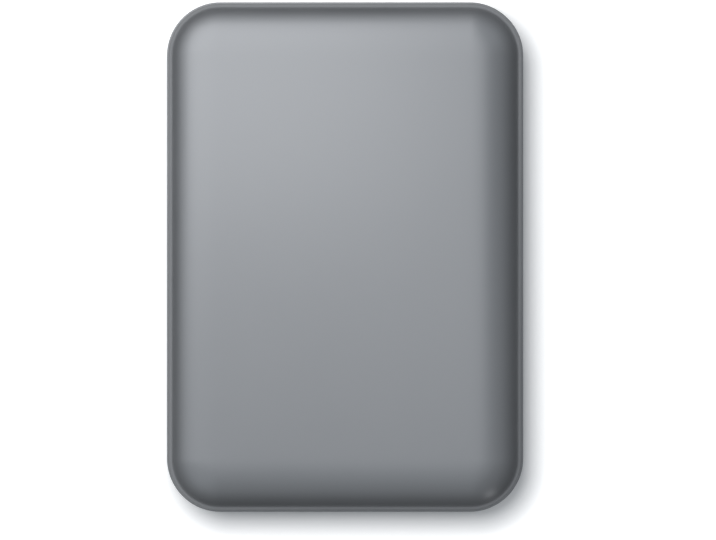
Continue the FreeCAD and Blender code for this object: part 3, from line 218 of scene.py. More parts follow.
class StageSettings(bpy.types.PropertyGroup):
    """Camera, lamps and table"""

    pixels_per_mm: FloatProperty(
        name="Scale", description="Picture scale at the seam, pixels per mm", default=4.454
    )
    distance: FloatProperty(
        name="Distance", description="Camera height over the seam", default=1.2, unit="LENGTH"
    )
    aside: FloatVectorProperty(
        name="Aside",
        description="Where the camera looks, from the middle of the case",
        unit="LENGTH",
        size=2,
        default=(0.0029, -0.0029),
    )
    key_power: FloatProperty(
        name="Key power", description="Power of the wide softbox", default=1.1, min=0, unit="POWER"
    )
    key_size: FloatProperty(
        name="Key size", description="Width of the wide softbox", default=0.9, unit="LENGTH"
    )
    key_place: FloatVectorProperty(
        name="Key place",
        description="Middle of the wide softbox",
        unit="LENGTH",
        size=3,
        default=(-0.36, 0.393, 0.3),
    )
    near_power: FloatProperty(
        name="Near power", description="Power of the near softbox", default=0.2, min=0, unit="POWER"
    )
    near_size: FloatProperty(
        name="Near size", description="Width of the near softbox", default=0.3, unit="LENGTH"
    )
    near_place: FloatVectorProperty(
        name="Near place",
        description="Middle of the near softbox",
        unit="LENGTH",
        size=3,
        default=(-0.13, 0.162, 0.2),
    )
    low_power: FloatProperty(
        name="Low power", description="Power of the low lamp", default=0.12, min=0, unit="POWER"
    )
    low_size: FloatProperty(
        name="Low size", description="Width of the low lamp", default=0.12, unit="LENGTH"
    )
    low_place: FloatVectorProperty(
        name="Low place",
        description="Middle of the low lamp",
        unit="LENGTH",
        size=3,
        default=(0.27, -0.47, 0.175),
    )
    sky: FloatProperty(name="Sky", description="Brightness straight up", default=0.85, min=0)
    horizon: FloatProperty(name="Horizon", description="Brightness at the horizon", default=0.05, min=0)
    far_side: FloatProperty(
        name="Far side",
        description="Brightness of the sky at the lower right against the upper left",
        default=0.55,
    )
    sky_colour: FloatVectorProperty(
        name="Sky colour",
        description="Colour of the studio's daylight",
        subtype="COLOR",
        size=3,
        min=0,
        max=1,
        default=(0.91, 0.955, 1.0),
    )
    table_white: FloatProperty(
        name="Table", description="Share of light that the table throws back", default=0.8, min=0, max=1
    )
    far_colour: FloatVectorProperty(
        name="Far table",
        description="What the table throws back away from the object",
        subtype="COLOR",
        size=3,
        min=0,
        max=1,
        default=(0.14, 0.14, 0.145),
    )
    table_glow: FloatProperty(
        name="Table glow", description="White that the table adds for the camera", default=0.55, min=0
    )
    table_mirrored: FloatProperty(
        name="Table mirrored",
        description="Share of that white that shiny surfaces show, at the upper left",
        default=0.4,
        min=0,
        max=1,
    )
    # Painted shadow: the table's added white is held back round the case's outline moved this far, deepening
    # the real shadow
    painted_shadow_aside: FloatVectorProperty(
        name="Shade aside",
        description="How far the object's shadow is off to the lower right",
        unit="LENGTH",
        size=2,
        default=(0.0022, -0.0028),
    )
    # Painted shadow: width of its edge, over which the table's added white comes back
    painted_shadow_width: FloatProperty(
        name="Shade width",
        description="Width over which the table's own white comes back",
        default=0.0055,
        unit="LENGTH",
    )


# Shader values as Python expressions


class Field:
    """A shader socket that takes part in Python arithmetic: each operator adds one Math node."""

    def __init__(self, nodes, socket):
        self.nodes = nodes
        self.socket = socket

    def math(self, operation, first, second):
        """A Math node of a given operation on two numbers or fields."""
        return self.nodes.node("ShaderNodeMath", {"operation": operation}, {0: first, 1: second})

    def __add__(self, other):
        return self.math("ADD", self, other)

    def __radd__(self, other):
        return self.math("ADD", other, self)

    def __sub__(self, other):
        return self.math("SUBTRACT", self, other)

    def __rsub__(self, other):
        return self.math("SUBTRACT", other, self)

    def __mul__(self, other):
        return self.math("MULTIPLY", self, other)

    def __rmul__(self, other):
        return self.math("MULTIPLY", other, self)

    def above(self, low, high):
        """0 under low, 1 over high, a straight line between."""
        return self.nodes.node("ShaderNodeMapRange", {}, {"Value": self, "From Min": low, "From Max": high})

    def dot(self, direction):
        """A vector's share along a direction."""
        product = {"operation": "DOT_PRODUCT"}
        return self.nodes.node("ShaderNodeVectorMath", product, {0: self, 1: direction}, "Value")

    def length(self):
        """A vector's length."""
        return self.nodes.node("ShaderNodeVectorMath", {"operation": "LENGTH"}, {0: self}, "Value")


class Nodes:
    """A node tree that is written as expressions."""

    def __init__(self, tree):
        self.tree = tree

    def node(self, kind, settings, sockets, output=0):
        """Adds a node, sets it up, fills its sockets with values or links, and gives back one output."""
        made = self.tree.nodes.new(kind)
        for name, value in settings.items():
            setattr(made, name, value)
        for name, value in sockets.items():
            if isinstance(value, Field):
                self.tree.links.new(value.socket, made.inputs[name])
            else:
                made.inputs[name].default_value = value
        return Field(self, made.outputs[output])

    def existing(self, kind):
        """The tree's own node of a kind."""
        return next(node for node in self.tree.nodes if node.type == kind)

    def blend(self, amount, first, second):
        """A colour between two colours, which a Mix node has at sockets 6 and 7."""
        colours = {0: amount, 6: (*first, 1), 7: (*second, 1)}
        return self.node("ShaderNodeMix", {"data_type": "RGBA"}, colours, 2)


class Finish(Nodes):
    """A material with one Principled shader; whatever varies is fed into it by expressions."""

    def __init__(self, name, **constants):
        self.material = bpy.data.materials.new(name)
        self.material.use_nodes = True
        super().__init__(self.material.node_tree)
        self.shader = self.existing("BSDF_PRINCIPLED")
        for socket, value in constants.items():
            self.shader.inputs[socket.replace("_", " ")].default_value = value

    def feed(self, **links):
        """Links fields to the shader's sockets."""
        for name, field in links.items():
            self.tree.links.new(field.socket, self.shader.inputs[name.replace("_", " ")])
        return self

    def place(self):
        """Object coordinates, in metres."""
        return self.node("ShaderNodeTexCoord", {}, {}, "Object")

    def stretched(self, x, y, z):
        """Object coordinates scaled apart on each axis."""
        return self.node("ShaderNodeMapping", {}, {"Vector": self.place(), "Scale": (x, y, z)})

    def noise(self, scale, detail=2.0, rough=0.5, where=None):
        """Cloudy noise with a given number of clouds to the metre."""
        sockets = {"Vector": where or self.place(), "Scale": scale, "Detail": detail, "Roughness": rough}
        return self.node("ShaderNodeTexNoise", {}, sockets)

    def wave(self, settings, band, distortion, where=None):
        """Bands or rings, each of a given width in metres."""
        sockets = {"Vector": where or self.place(), "Scale": WAVE_BAND / band, "Detail": 1.0}
        return self.node("ShaderNodeTexWave", settings, {**sockets, "Distortion": distortion}, 1)

    def bump(self, height, depth):
        """Relief of a depth in metres."""
        return self.feed(Normal=self.node("ShaderNodeBump", {}, {"Height": height, "Distance": depth}))


def shade(colour, factor):
    """A colour made darker or paler."""
    return tuple(min(1.0, part * factor) for part in colour)


def lacquer(name, colour):
    """Metallic lacquer on moulded plastic: fine flake, a faint orange-peel and a satin gloss."""
    finish = Finish(name, Metallic=0.9, Specular_Tint=(0.5, 0.5, 0.5, 1))
    flake = finish.noise(9000, 1)
    cloud = finish.noise(38, 3)
    peel = finish.noise(1400, 2)
    finish.feed(
        Base_Color=finish.blend(flake * 0.5 + cloud * 0.5, shade(colour, 0.93), shade(colour, 1.07)),
        Roughness=0.29 + 0.05 * cloud + 0.03 * (flake - 0.5),
    )
    return finish.bump(peel + 0.2 * flake, 1.2e-6)


def moulded(name, colour, rough=0.55, grain=4500):
    """Plain moulded plastic with a spark-eroded grain."""
    finish = Finish(name, Specular_IOR_Level=0.45)
    spark = finish.noise(grain, 3, 0.6)
    flow = finish.noise(120, 3, where=finish.stretched(1, 0.3, 1))
    finish.feed(
        Base_Color=finish.blend(flow, shade(colour, 0.9), shade(colour, 1.1)),
        Roughness=rough + 0.12 * (spark - 0.5) + 0.06 * (flow - 0.5),
    )
    return finish.bump(spark, 6e-6)


def rubbery(name, colour):
    """Soft rubber: dull, with a fine pitted skin and a little dust in the pits."""
    finish = Finish(name, Specular_IOR_Level=0.3)
    pits = finish.noise(3200, 3, 0.65)
    dust = finish.noise(420, 4, 0.6)
    finish.feed(
        Base_Color=finish.blend(dust.above(0.45, 0.75) * 0.6, colour, shade(colour, 2.2)),
        Roughness=0.72 + 0.2 * pits,
    )
    return finish.bump(pits, 1.5e-5)


def clear(name, colour):
    """Clear plastic with faint flow lines."""
    finish = Finish(name, Transmission_Weight=0.75, IOR=1.49)
    flow = finish.noise(700, 2, where=finish.stretched(1, 0.15, 1))
    finish.feed(Base_Color=finish.blend(flow, shade(colour, 0.95), colour), Roughness=0.06 + 0.1 * flow)
    return finish.bump(flow, 4e-6)


def brushed(name, colour, rough=0.3, along=(1, 0.02, 1), scale=9000):
    """Sheet metal with brush lines along one axis."""
    finish = Finish(name, Metallic=1.0)
    lines = finish.noise(scale, 3, 0.7, finish.stretched(*along))
    stain = finish.noise(160, 3)
    finish.feed(
        Base_Color=finish.blend(lines * 0.6 + stain * 0.4, shade(colour, 0.86), shade(colour, 1.1)),
        Roughness=rough + 0.16 * (lines - 0.5) + 0.1 * (stain - 0.5),
    )
    return finish.bump(lines, 2e-6)


def cast(name, colour):
    """Die-cast aluminium: a shot-blasted skin with flow marks."""
    finish = Finish(name, Metallic=1.0)
    blast = finish.noise(5200, 3, 0.6)
    flow = finish.noise(90, 4, 0.55)
    finish.feed(
        Base_Color=finish.blend(flow, shade(colour, 0.82), shade(colour, 1.12)),
        Roughness=0.46 + 0.18 * (blast - 0.5) + 0.12 * (flow - 0.5),
    )
    return finish.bump(blast, 1.2e-5)


def turned_metal(name, colour, centre, rough=0.22, pitch=0.00012, uneven=1.0):
    """Lathe-turned metal: fine rings about a centre."""
    finish = Finish(name, Metallic=1.0)
    moved = {"Vector": finish.place(), "Location": (-centre[0], -centre[1], 0)}
    offset = finish.node("ShaderNodeMapping", {}, moved)
    rings = finish.wave({"wave_type": "RINGS", "rings_direction": "Z"}, pitch, 0.6, offset)
    haze = finish.noise(240, 3)
    finish.feed(
        Base_Color=finish.blend(haze, shade(colour, 1 - 0.1 * uneven), shade(colour, 1 + 0.08 * uneven)),
        Roughness=rough + 0.08 * uneven * rings + 0.06 * uneven * (haze - 0.5),
    )
    return finish.bump(rings, 1.5e-6 * uneven)


def wound(name, colour, turn=0.00011):
    """Enamelled copper wire in close turns, darker in the grooves between turns and paler on their tops:
    painted shade and light.
    """
    finish = Finish(name, Metallic=0.9, Coat_Weight=0.6, Coat_Roughness=0.15)
    wire = finish.wave({"wave_type": "BANDS", "bands_direction": "Z"}, turn, 0.4)
    stain = finish.noise(900, 3)
    finish.feed(
        # Base colour follows the turns' relief: painted shade in the grooves, painted light on the tops
        Base_Color=finish.blend(wire * 0.7 + stain * 0.3, shade(colour, 0.55), shade(colour, 1.15)),
        Roughness=0.26 + 0.2 * (1 - wire),
    )
    return finish.bump(wire, 2.5e-5)


def circuit(name, colour):
    """Circuit board: solder mask over a grid of copper tracks."""
    finish = Finish(name, Coat_Weight=0.35, Coat_Roughness=0.2)
    grid = {"Scale": 380.0, "Mortar Size": 0.012, "Brick Width": 0.9, "Row Height": 0.22}
    tracks = finish.node("ShaderNodeTexBrick", {"offset": 0.5}, {"Vector": finish.place(), **grid}, 1)
    weave = finish.noise(2600, 2)
    finish.feed(
        Base_Color=finish.blend(tracks * 0.6 + 0.15 * weave, colour, shade(colour, 1.9)),
        Roughness=0.34 + 0.12 * weave,
    )
    return finish.bump(tracks + 0.2 * weave, 1.2e-5)


def felted(name, colour):
    """Filter felt: tangled fibres."""
    finish = Finish(name, Specular_IOR_Level=0.2)
    fibres = finish.noise(2400, 6, 0.75)
    finish.feed(Base_Color=finish.blend(fibres, shade(colour, 0.75), colour), Roughness=0.85 + 0.1 * fibres)
    return finish.bump(fibres, 5e-5)


def glowing(name, colour):
    """Milky lamp body, a little cloudy."""
    finish = Finish(name, Subsurface_Weight=0.2, Subsurface_Scale=0.0004)
    milk = finish.noise(1800, 3)
    finish.feed(Base_Color=finish.blend(milk, shade(colour, 0.85), colour), Roughness=0.2 + 0.15 * milk)
    return finish.bump(milk, 4e-6)


def dress(finish, *names):
    """Gives CAD nodes a finish."""
    for name in names:
        mesh = NODES[name].data
        mesh.materials.clear()
        mesh.materials.append(finish.material)


# Surfaces worked out as arrays


def rounded_path(half_u, half_v, corner, steps, across=None, along=None):
    """A rectangle with round corners, anticlockwise, as centres c and unit normals n.

    The curve an inset d inside it is c + (corner - d) n, so that every inset runs parallel.
    """
    in_u, in_v = half_u - corner, half_v - corner
    across = np.array([-in_u, in_u]) if across is None else across
    along = np.array([-in_v, in_v]) if along is None else along
    turn = np.linspace(0, math.pi / 2, steps, endpoint=False)
    centres, normals = [], []
    sides = [(in_u + 0 * along, along), (across[::-1], in_v + 0 * across)]
    sides += [(-in_u + 0 * along, along[::-1]), (across, -in_v + 0 * across)]
    for quarter, (u, v) in enumerate(sides):
        angle = quarter * math.pi / 2
        centres.append(np.column_stack([u, v])[:-1])
        normals.append(np.tile([math.cos(angle), math.sin(angle)], (len(u) - 1, 1)))
        centres.append(np.tile([u[-1], v[-1]], (steps, 1)))
        normals.append(np.column_stack([np.cos(angle + turn), np.sin(angle + turn)]))
    return np.vstack(centres), np.vstack(normals)


def rounded_polygon(corners, radius, steps):
    """An anticlockwise polygon with every corner rounded, as points and outward unit normals.

    A corner's circle is on its bisector, radius / sin(half the corner's angle) away, and its arc takes the
    rest of the half turn. At a corner that turns inwards the circle lies outside, so that the arc runs the
    other way.
    """
    corners = np.asarray(corners, float)
    back, ahead = (np.roll(corners, step, axis=0) - corners for step in (1, -1))
    back /= np.linalg.norm(back, axis=1, keepdims=True)
    ahead /= np.linalg.norm(ahead, axis=1, keepdims=True)
    half = np.arccos((back * ahead).sum(axis=1)) / 2
    way = np.sign(ahead[:, 0] * back[:, 1] - ahead[:, 1] * back[:, 0])[:, None]
    bisector = (back + ahead) / (2 * np.cos(half))[:, None]
    centres = corners + bisector * radius / np.sin(half)[:, None]
    outward = np.arctan2(*(-way * bisector).T[::-1])[:, None]
    angle = outward + way * (math.pi / 2 - half)[:, None] * np.linspace(-1, 1, steps)
    normals = np.dstack([np.cos(angle), np.sin(angle)])
    points = centres[:, None] + radius * way[:, None] * normals
    return points.reshape(-1, 2), normals.reshape(-1, 2)


def round_path(steps):
    """A circle about the origin, as centres and unit normals."""
    turn = np.linspace(0, 2 * math.pi, steps, endpoint=False)
    return np.zeros((steps, 2)), np.column_stack([np.cos(turn), np.sin(turn)])


def carried(path, corner, inset, height):
    """A profile carried round a path: point (i, j) is c_i + (corner - inset_j) n_i, at height_j."""
    centres, normals = path
    inset = np.broadcast_to(inset, (len(centres), np.shape(inset)[-1]))
    flat = centres[:, None] + (corner - inset)[..., None] * normals[:, None]
    return np.dstack([flat, np.broadcast_to(height, inset.shape)])


def cells(rows, columns, around=True, closed=False):
    """Four corners of each cell of a grid, with its row and column; either way it may run round."""
    i = np.arange(rows if around else rows - 1)
    j = np.arange(columns if closed else columns - 1)
    i, j = (part.ravel() for part in np.meshgrid(i, j, indexing="ij"))
    after_i, after_j = (i + 1) % rows, (j + 1) % columns
    corners = [i * columns + j, after_i * columns + j, after_i * columns + after_j, i * columns + after_j]
    return np.column_stack(corners), i, j


def skin(points, **kind):
    """A grid of points with its cells."""
    return points, cells(*points.shape[:2], **kind)[0]


def fan(ring):
    """Triangles from a closed ring of points to its middle."""
    index = np.arange(len(ring))
    triangles = np.column_stack([index, np.roll(index, -1), np.full(len(ring), len(ring))])
    return np.vstack([ring, ring.mean(axis=0)]), triangles


def rings_between(first, last, shares):
    """A skin between two rings of points, with a ring at each share of the way."""
    shares = np.asarray(shares)[:, None, None]
    return skin((first * (1 - shares) + last * shares).transpose(1, 0, 2))


def arc(centre, radius, start, end, steps):
    """Points (inset, height) on an arc; angle 0 points outwards, which is towards less inset."""
    angle = np.radians(np.linspace(start, end, steps))
    return np.column_stack([centre[0] - radius * np.cos(angle), centre[1] + radius * np.sin(angle)])


def crown_drop(past, crown, ease=0.0):
    """How far a crown arc has dropped below the flat face, past its start.

    The start is eased: within ease of it, past counts as (past + ease)^2 / (4 ease), so that the bend grows
    slowly.
    """
    within = np.abs(past) < ease
    past = np.where(within, (past + ease) ** 2 / (4 * max(ease, TOUCH)), np.maximum(past, 0))
    return crown - np.sqrt(crown**2 - past**2)


def crown_radius(rise, edge, side):
    """Radius of the arc that is tangent to a flat face and to a side arc.

    It is ((edge - side)^2 + rise^2 - side^2) / (2 (rise - side)).
    """
    return ((edge - side) ** 2 + rise**2 - side**2) / (2 * (rise - side))


def rolled_edge(start, land, top, edge, side, steps, ease=0.0):
    """Section of a rolled edge: a side arc, then a crown arc that is tangent to it and to the flat face.

    The side arc's middle is (start + side, land); the crown ends on the flat face at the inset start + edge.
    """
    rise, way = abs(top - land), math.copysign(1, top - land)
    crown = crown_radius(rise, edge, side)
    meet = math.atan2(crown - rise, edge - side)
    low = arc((start + side, 0), side, 0, math.degrees(meet), steps // 2)[:-1]
    past = crown * np.cos(np.linspace(meet, math.pi / 2, steps))
    high = np.column_stack([start + edge - past, rise - crown_drop(past, crown, ease)])
    return np.vstack([low, high]) * [1, way] + [0, land]


def depth_inside(points, corner):
    """How far inside the case's outline points are: the distance to a rectangle with round corners."""
    past = np.abs(points[..., :2]) - (np.array([HALF_X, HALF_Y]) - corner)
    return corner - np.linalg.norm(np.maximum(past, 0), axis=-1) - np.minimum(past.max(axis=-1), 0)


def inset_at(section, heights):
    """How far inside the outline a section is at each height."""
    order = np.argsort(section[:, 1])
    return np.interp(heights, section[order, 1], section[order, 0])


def flat_cap(path, corner, inset, height):
    """A flat face inside a ring: a strip that squares the round corners off, and a grid of straight lines.

    The strip's inner edge is c + q n / max|n|, with q a share of the ring's own corner radius.
    """
    centres, normals = path
    ring = centres + (corner - inset) * normals
    border = centres + CAP_SQUARE * (corner - inset) * normals / np.abs(normals).max(axis=1, keepdims=True)
    strip = np.dstack([np.stack([ring, border], axis=1), np.full((len(ring), 2, 1), height)])
    lines = [np.unique(np.round(border[:, axis], 6)) for axis in (0, 1)]
    u, v = np.meshgrid(*lines, indexing="ij")
    return skin(strip), np.dstack([u, v, np.full(u.shape, height)])


def border_of(grid, i_from, i_to, j_from, j_to):
    """The closed ring of points round a block of a grid's cells."""
    sides = [grid[i_from:i_to, j_from], grid[i_to, j_from:j_to]]
    return np.vstack([*sides, grid[i_to:i_from:-1, j_to], grid[i_from, j_to:j_from:-1]])


def without(grid, blocks, **kind):
    """A grid's skin with blocks of its cells left out."""
    quads, i, j = cells(*grid.shape[:2], **kind)
    keep = np.ones(len(quads), bool)
    for i_from, i_to, j_from, j_to in blocks:
        keep &= ~((i >= i_from) & (i < i_to) & (j >= j_from) & (j < j_to))
    return grid, quads[keep]


def rounded_hole(border, middle, half, corner):
    """Each border point's partner on a rounded rectangle.

    The point is scaled onto the sharp rectangle, and in a corner square it is drawn onto the corner's circle.
    """
    away = (border - middle) / np.abs(border - middle).max(axis=0)
    sharp = away / np.abs(away).max(axis=1, keepdims=True) * half
    inner = np.clip(sharp, corner - half, half - corner)
    out = sharp - inner
    length = np.linalg.norm(out, axis=1, keepdims=True)
    in_corner = (np.abs(out) > 1e-9).all(axis=1, keepdims=True)
    return middle + np.where(in_corner, inner + corner * out / np.maximum(length, 1e-9), sharp)


def turned_over(points, order, middle):
    """Points whose own axes (u, v, w) become the listed axes of the object, moved to a middle."""
    moved = np.empty_like(points)
    moved[..., list(order)] = points
    return moved + np.asarray(middle)


def bar(path, corner, profile, order=(0, 1, 2), middle=(0, 0, 0)):
    """A closed bar: a profile of (inset, height) carried round a path, and a fan over each end."""
    side = carried(path, corner, profile[:, 0], profile[:, 1])
    patches = [skin(side), fan(side[:, 0]), fan(side[:, -1])]
    return [(turned_over(points, order, middle), faces) for points, faces in patches]


def softened(low, high, radius, steps=5):
    """A bar's profile from low to high with a round edge at both ends."""
    foot = arc((radius, low + radius), radius, -90, 0, steps)
    return np.vstack([foot, arc((radius, high - radius), radius, 0, 90, steps)])


def block(half_u, half_v, low, high, middle, order=(0, 1, 2), corner=0.2):
    """A closed block with round corners, its ends softened by a share of their radius."""
    profile = softened(low, high, END_ROUND * corner)
    return bar(rounded_path(half_u, half_v, corner, 4), corner, profile, order, middle)


def assembled(name, patches, finish, stands_for=None, sharp=32):
    """One mesh from patches of points, in millimetres, and faces.

    Points that meet merge, and faces turn outwards.
    """
    starts = np.cumsum([0] + [len(points.reshape(-1, 3)) for points, _ in patches])
    points = np.vstack([points.reshape(-1, 3) for points, _ in patches])
    _, first, merged = np.unique(np.round(points, 4), axis=0, return_index=True, return_inverse=True)
    merged = merged.ravel()
    faces = []
    for start, (_, corners) in zip(starts, patches):
        faces += merged[corners + start].tolist()
    mesh = bpy.data.meshes.new(name)
    mesh.from_pydata((points[first] * MM).tolist(), [], faces)
    mesh.validate()
    work = bmesh.new()
    work.from_mesh(mesh)
    bmesh.ops.recalc_face_normals(work, faces=work.faces)
    work.to_mesh(mesh)
    work.free()
    mesh.shade_smooth()
    mesh.set_sharp_from_angle(angle=math.radians(sharp))
    mesh.materials.append(finish.material)
    piece = bpy.data.objects.new(name, mesh)
    bpy.context.scene.collection.objects.link(piece)
    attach(piece, CASE_BODY)
    if stands_for:
        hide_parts(stands_for)
    return piece


# Case


SHARED = []


def case_finish(case):
    """The lacquer of both halves, made once and shared."""
    if not SHARED:
        SHARED.append(lacquer("case lacquer", case.colour))
    return SHARED[0]


def lines_over(*stretches):
    """Grid lines over stretches in a row, each from, to and its number of lines."""
    return np.unique(np.concatenate([np.linspace(*stretch) for stretch in stretches]).round(6))


def case_path(case):
    """Path of the case's outline, with lines where the feet and the light window need them."""
    in_x, in_y = HALF_X - case.corner, HALF_Y - case.corner
    foot_x, foot_y = np.abs(middle_of(FEET[0])[:2]) - FOOT_BLOCK
    slot = PIPE_MIDDLE[0] - SLOT_BLOCK, PIPE_MIDDLE[0] + SLOT_BLOCK
    between = (-foot_x, slot[0], 9), (*slot, 7), (slot[1], foot_x, 6)
    across = lines_over((-in_x, -foot_x, 8), *between, (foot_x, in_x, 8))
    along = lines_over((-in_y, -foot_y, 8), (-foot_y, foot_y, 17), (foot_y, in_y, 8))
    return rounded_path(HALF_X, HALF_Y, case.corner, case.arc_steps, across, along)


class DRIVE_OT_cover(bpy.types.Operator):
    """Top half of the case: pillow edge, lip and ceiling carried round the outline, ribs and snap beads"""

    bl_idname = "drive.cover"
    bl_label = "Top cover"

    def execute(self, context):
        case = context.scene.drive_case
        path = case_path(case)
        ceiling = COVER_TOP - case.wall
        section = self.section(case, ceiling)
        walls = carried(path, case.corner, section[:, 0], self.lip_heights(path, case, section[:, 1]))
        patches = [skin(walls)]
        start = case.seam_step + case.cover_edge
        crown = crown_radius(COVER_TOP - SEAM - case.cover_land, case.cover_edge, case.cover_side)
        for level, ease in ((COVER_TOP, case.cover_ease), (ceiling, 0)):
            (strip, quads), grid = flat_cap(path, case.corner, start, level)
            for face in (strip, grid):
                face[..., 2] -= crown_drop(start - depth_inside(face, case.corner), crown, ease)
            patches += [(strip, quads), skin(grid, around=False)]
        patches += self.ribs(ceiling) + self.beads(case)
        assembled("cover", patches, case_finish(case), "top_cover")
        return {"FINISHED"}

    @staticmethod
    def section(case, ceiling):
        """The section as (inset, height): down the rolled edge, round the seam and the lip, up inside."""
        start, land = case.seam_step, SEAM + case.cover_land
        edge, side = case.cover_edge, case.cover_side
        outer = rolled_edge(start, land, COVER_TOP, edge, side, COVER_ROWS, case.cover_ease)[::-1]
        foot = arc((start + SEAM_ROUND, SEAM + SEAM_ROUND), SEAM_ROUND, 0, -90, 5)
        lip_out, lip_in, lip_low = case.wall + LIP_GAP, case.wall + LIP_GAP + LIP_THICK, SEAM - LIP_DROP
        lip = [(lip_out, SEAM), (lip_out, lip_low + LIP_ROUND), (lip_out + LIP_ROUND, lip_low)]
        lip += [(lip_in - LIP_ROUND, lip_low), (lip_in, lip_low + LIP_ROUND), (lip_in, SEAM + LIP_RISE)]
        hollow = rolled_edge(
            start + case.wall, land, ceiling, edge - case.wall, side - case.wall, CEILING_ROWS
        )
        hollow = hollow[hollow[:, 0] > lip_in + 2 * TOUCH]
        foot_inside = (hollow[0, 0] - TOUCH, max(hollow[0, 1] - TOUCH, SEAM + LIP_RISE))
        return np.vstack([outer, foot, lip, [foot_inside], hollow])

    @staticmethod
    def lip_heights(path, case, heights):
        """Heights of the section along the path: over the socket only a stub of the lip is left."""
        spot = path[0] + case.corner * path[1]
        reach = (SOCKET_HIGH[0] - SOCKET_LOW[0]) / 2 + 2 * OPENING_GAP
        at_port = (np.abs(spot[:, 0] - SOCKET_MIDDLE[0]) < reach) & (spot[:, 1] > 0)
        short = np.where(heights < SEAM, SEAM - LIP_STUB * (SEAM - heights), heights)
        return np.where(at_port[:, None], short, heights)

    @staticmethod
    def ribs(ceiling):
        """Two long ribs under the ceiling, just over the drive's lid."""
        low, high, y = spans("drive_lid")[1][2] + RIB_GAP, ceiling + ROOT, middle_of("drive_base")[1]
        patches = []
        for x in (-RIB_SIDE, RIB_SIDE):
            patches += block(RIB_THICK / 2, RIB_LENGTH / 2, low, high, (x, y, 0))
        return patches

    @staticmethod
    def beads(case):
        """Snap beads along both sides of the lip."""
        lip, height = HALF_X - case.wall - LIP_GAP, SEAM - LIP_DROP / 2 + LIP_GAP
        patches = []
        for side in (-lip, lip):
            for spot in (-BEAD_PITCH, 0, BEAD_PITCH):
                ends = side - BEAD_PROUD, side + BEAD_PROUD
                patches += block(BEAD_LENGTH / 2, BEAD_HEIGHT / 2, *ends, (0, spot, height), (1, 2, 0))
        return patches


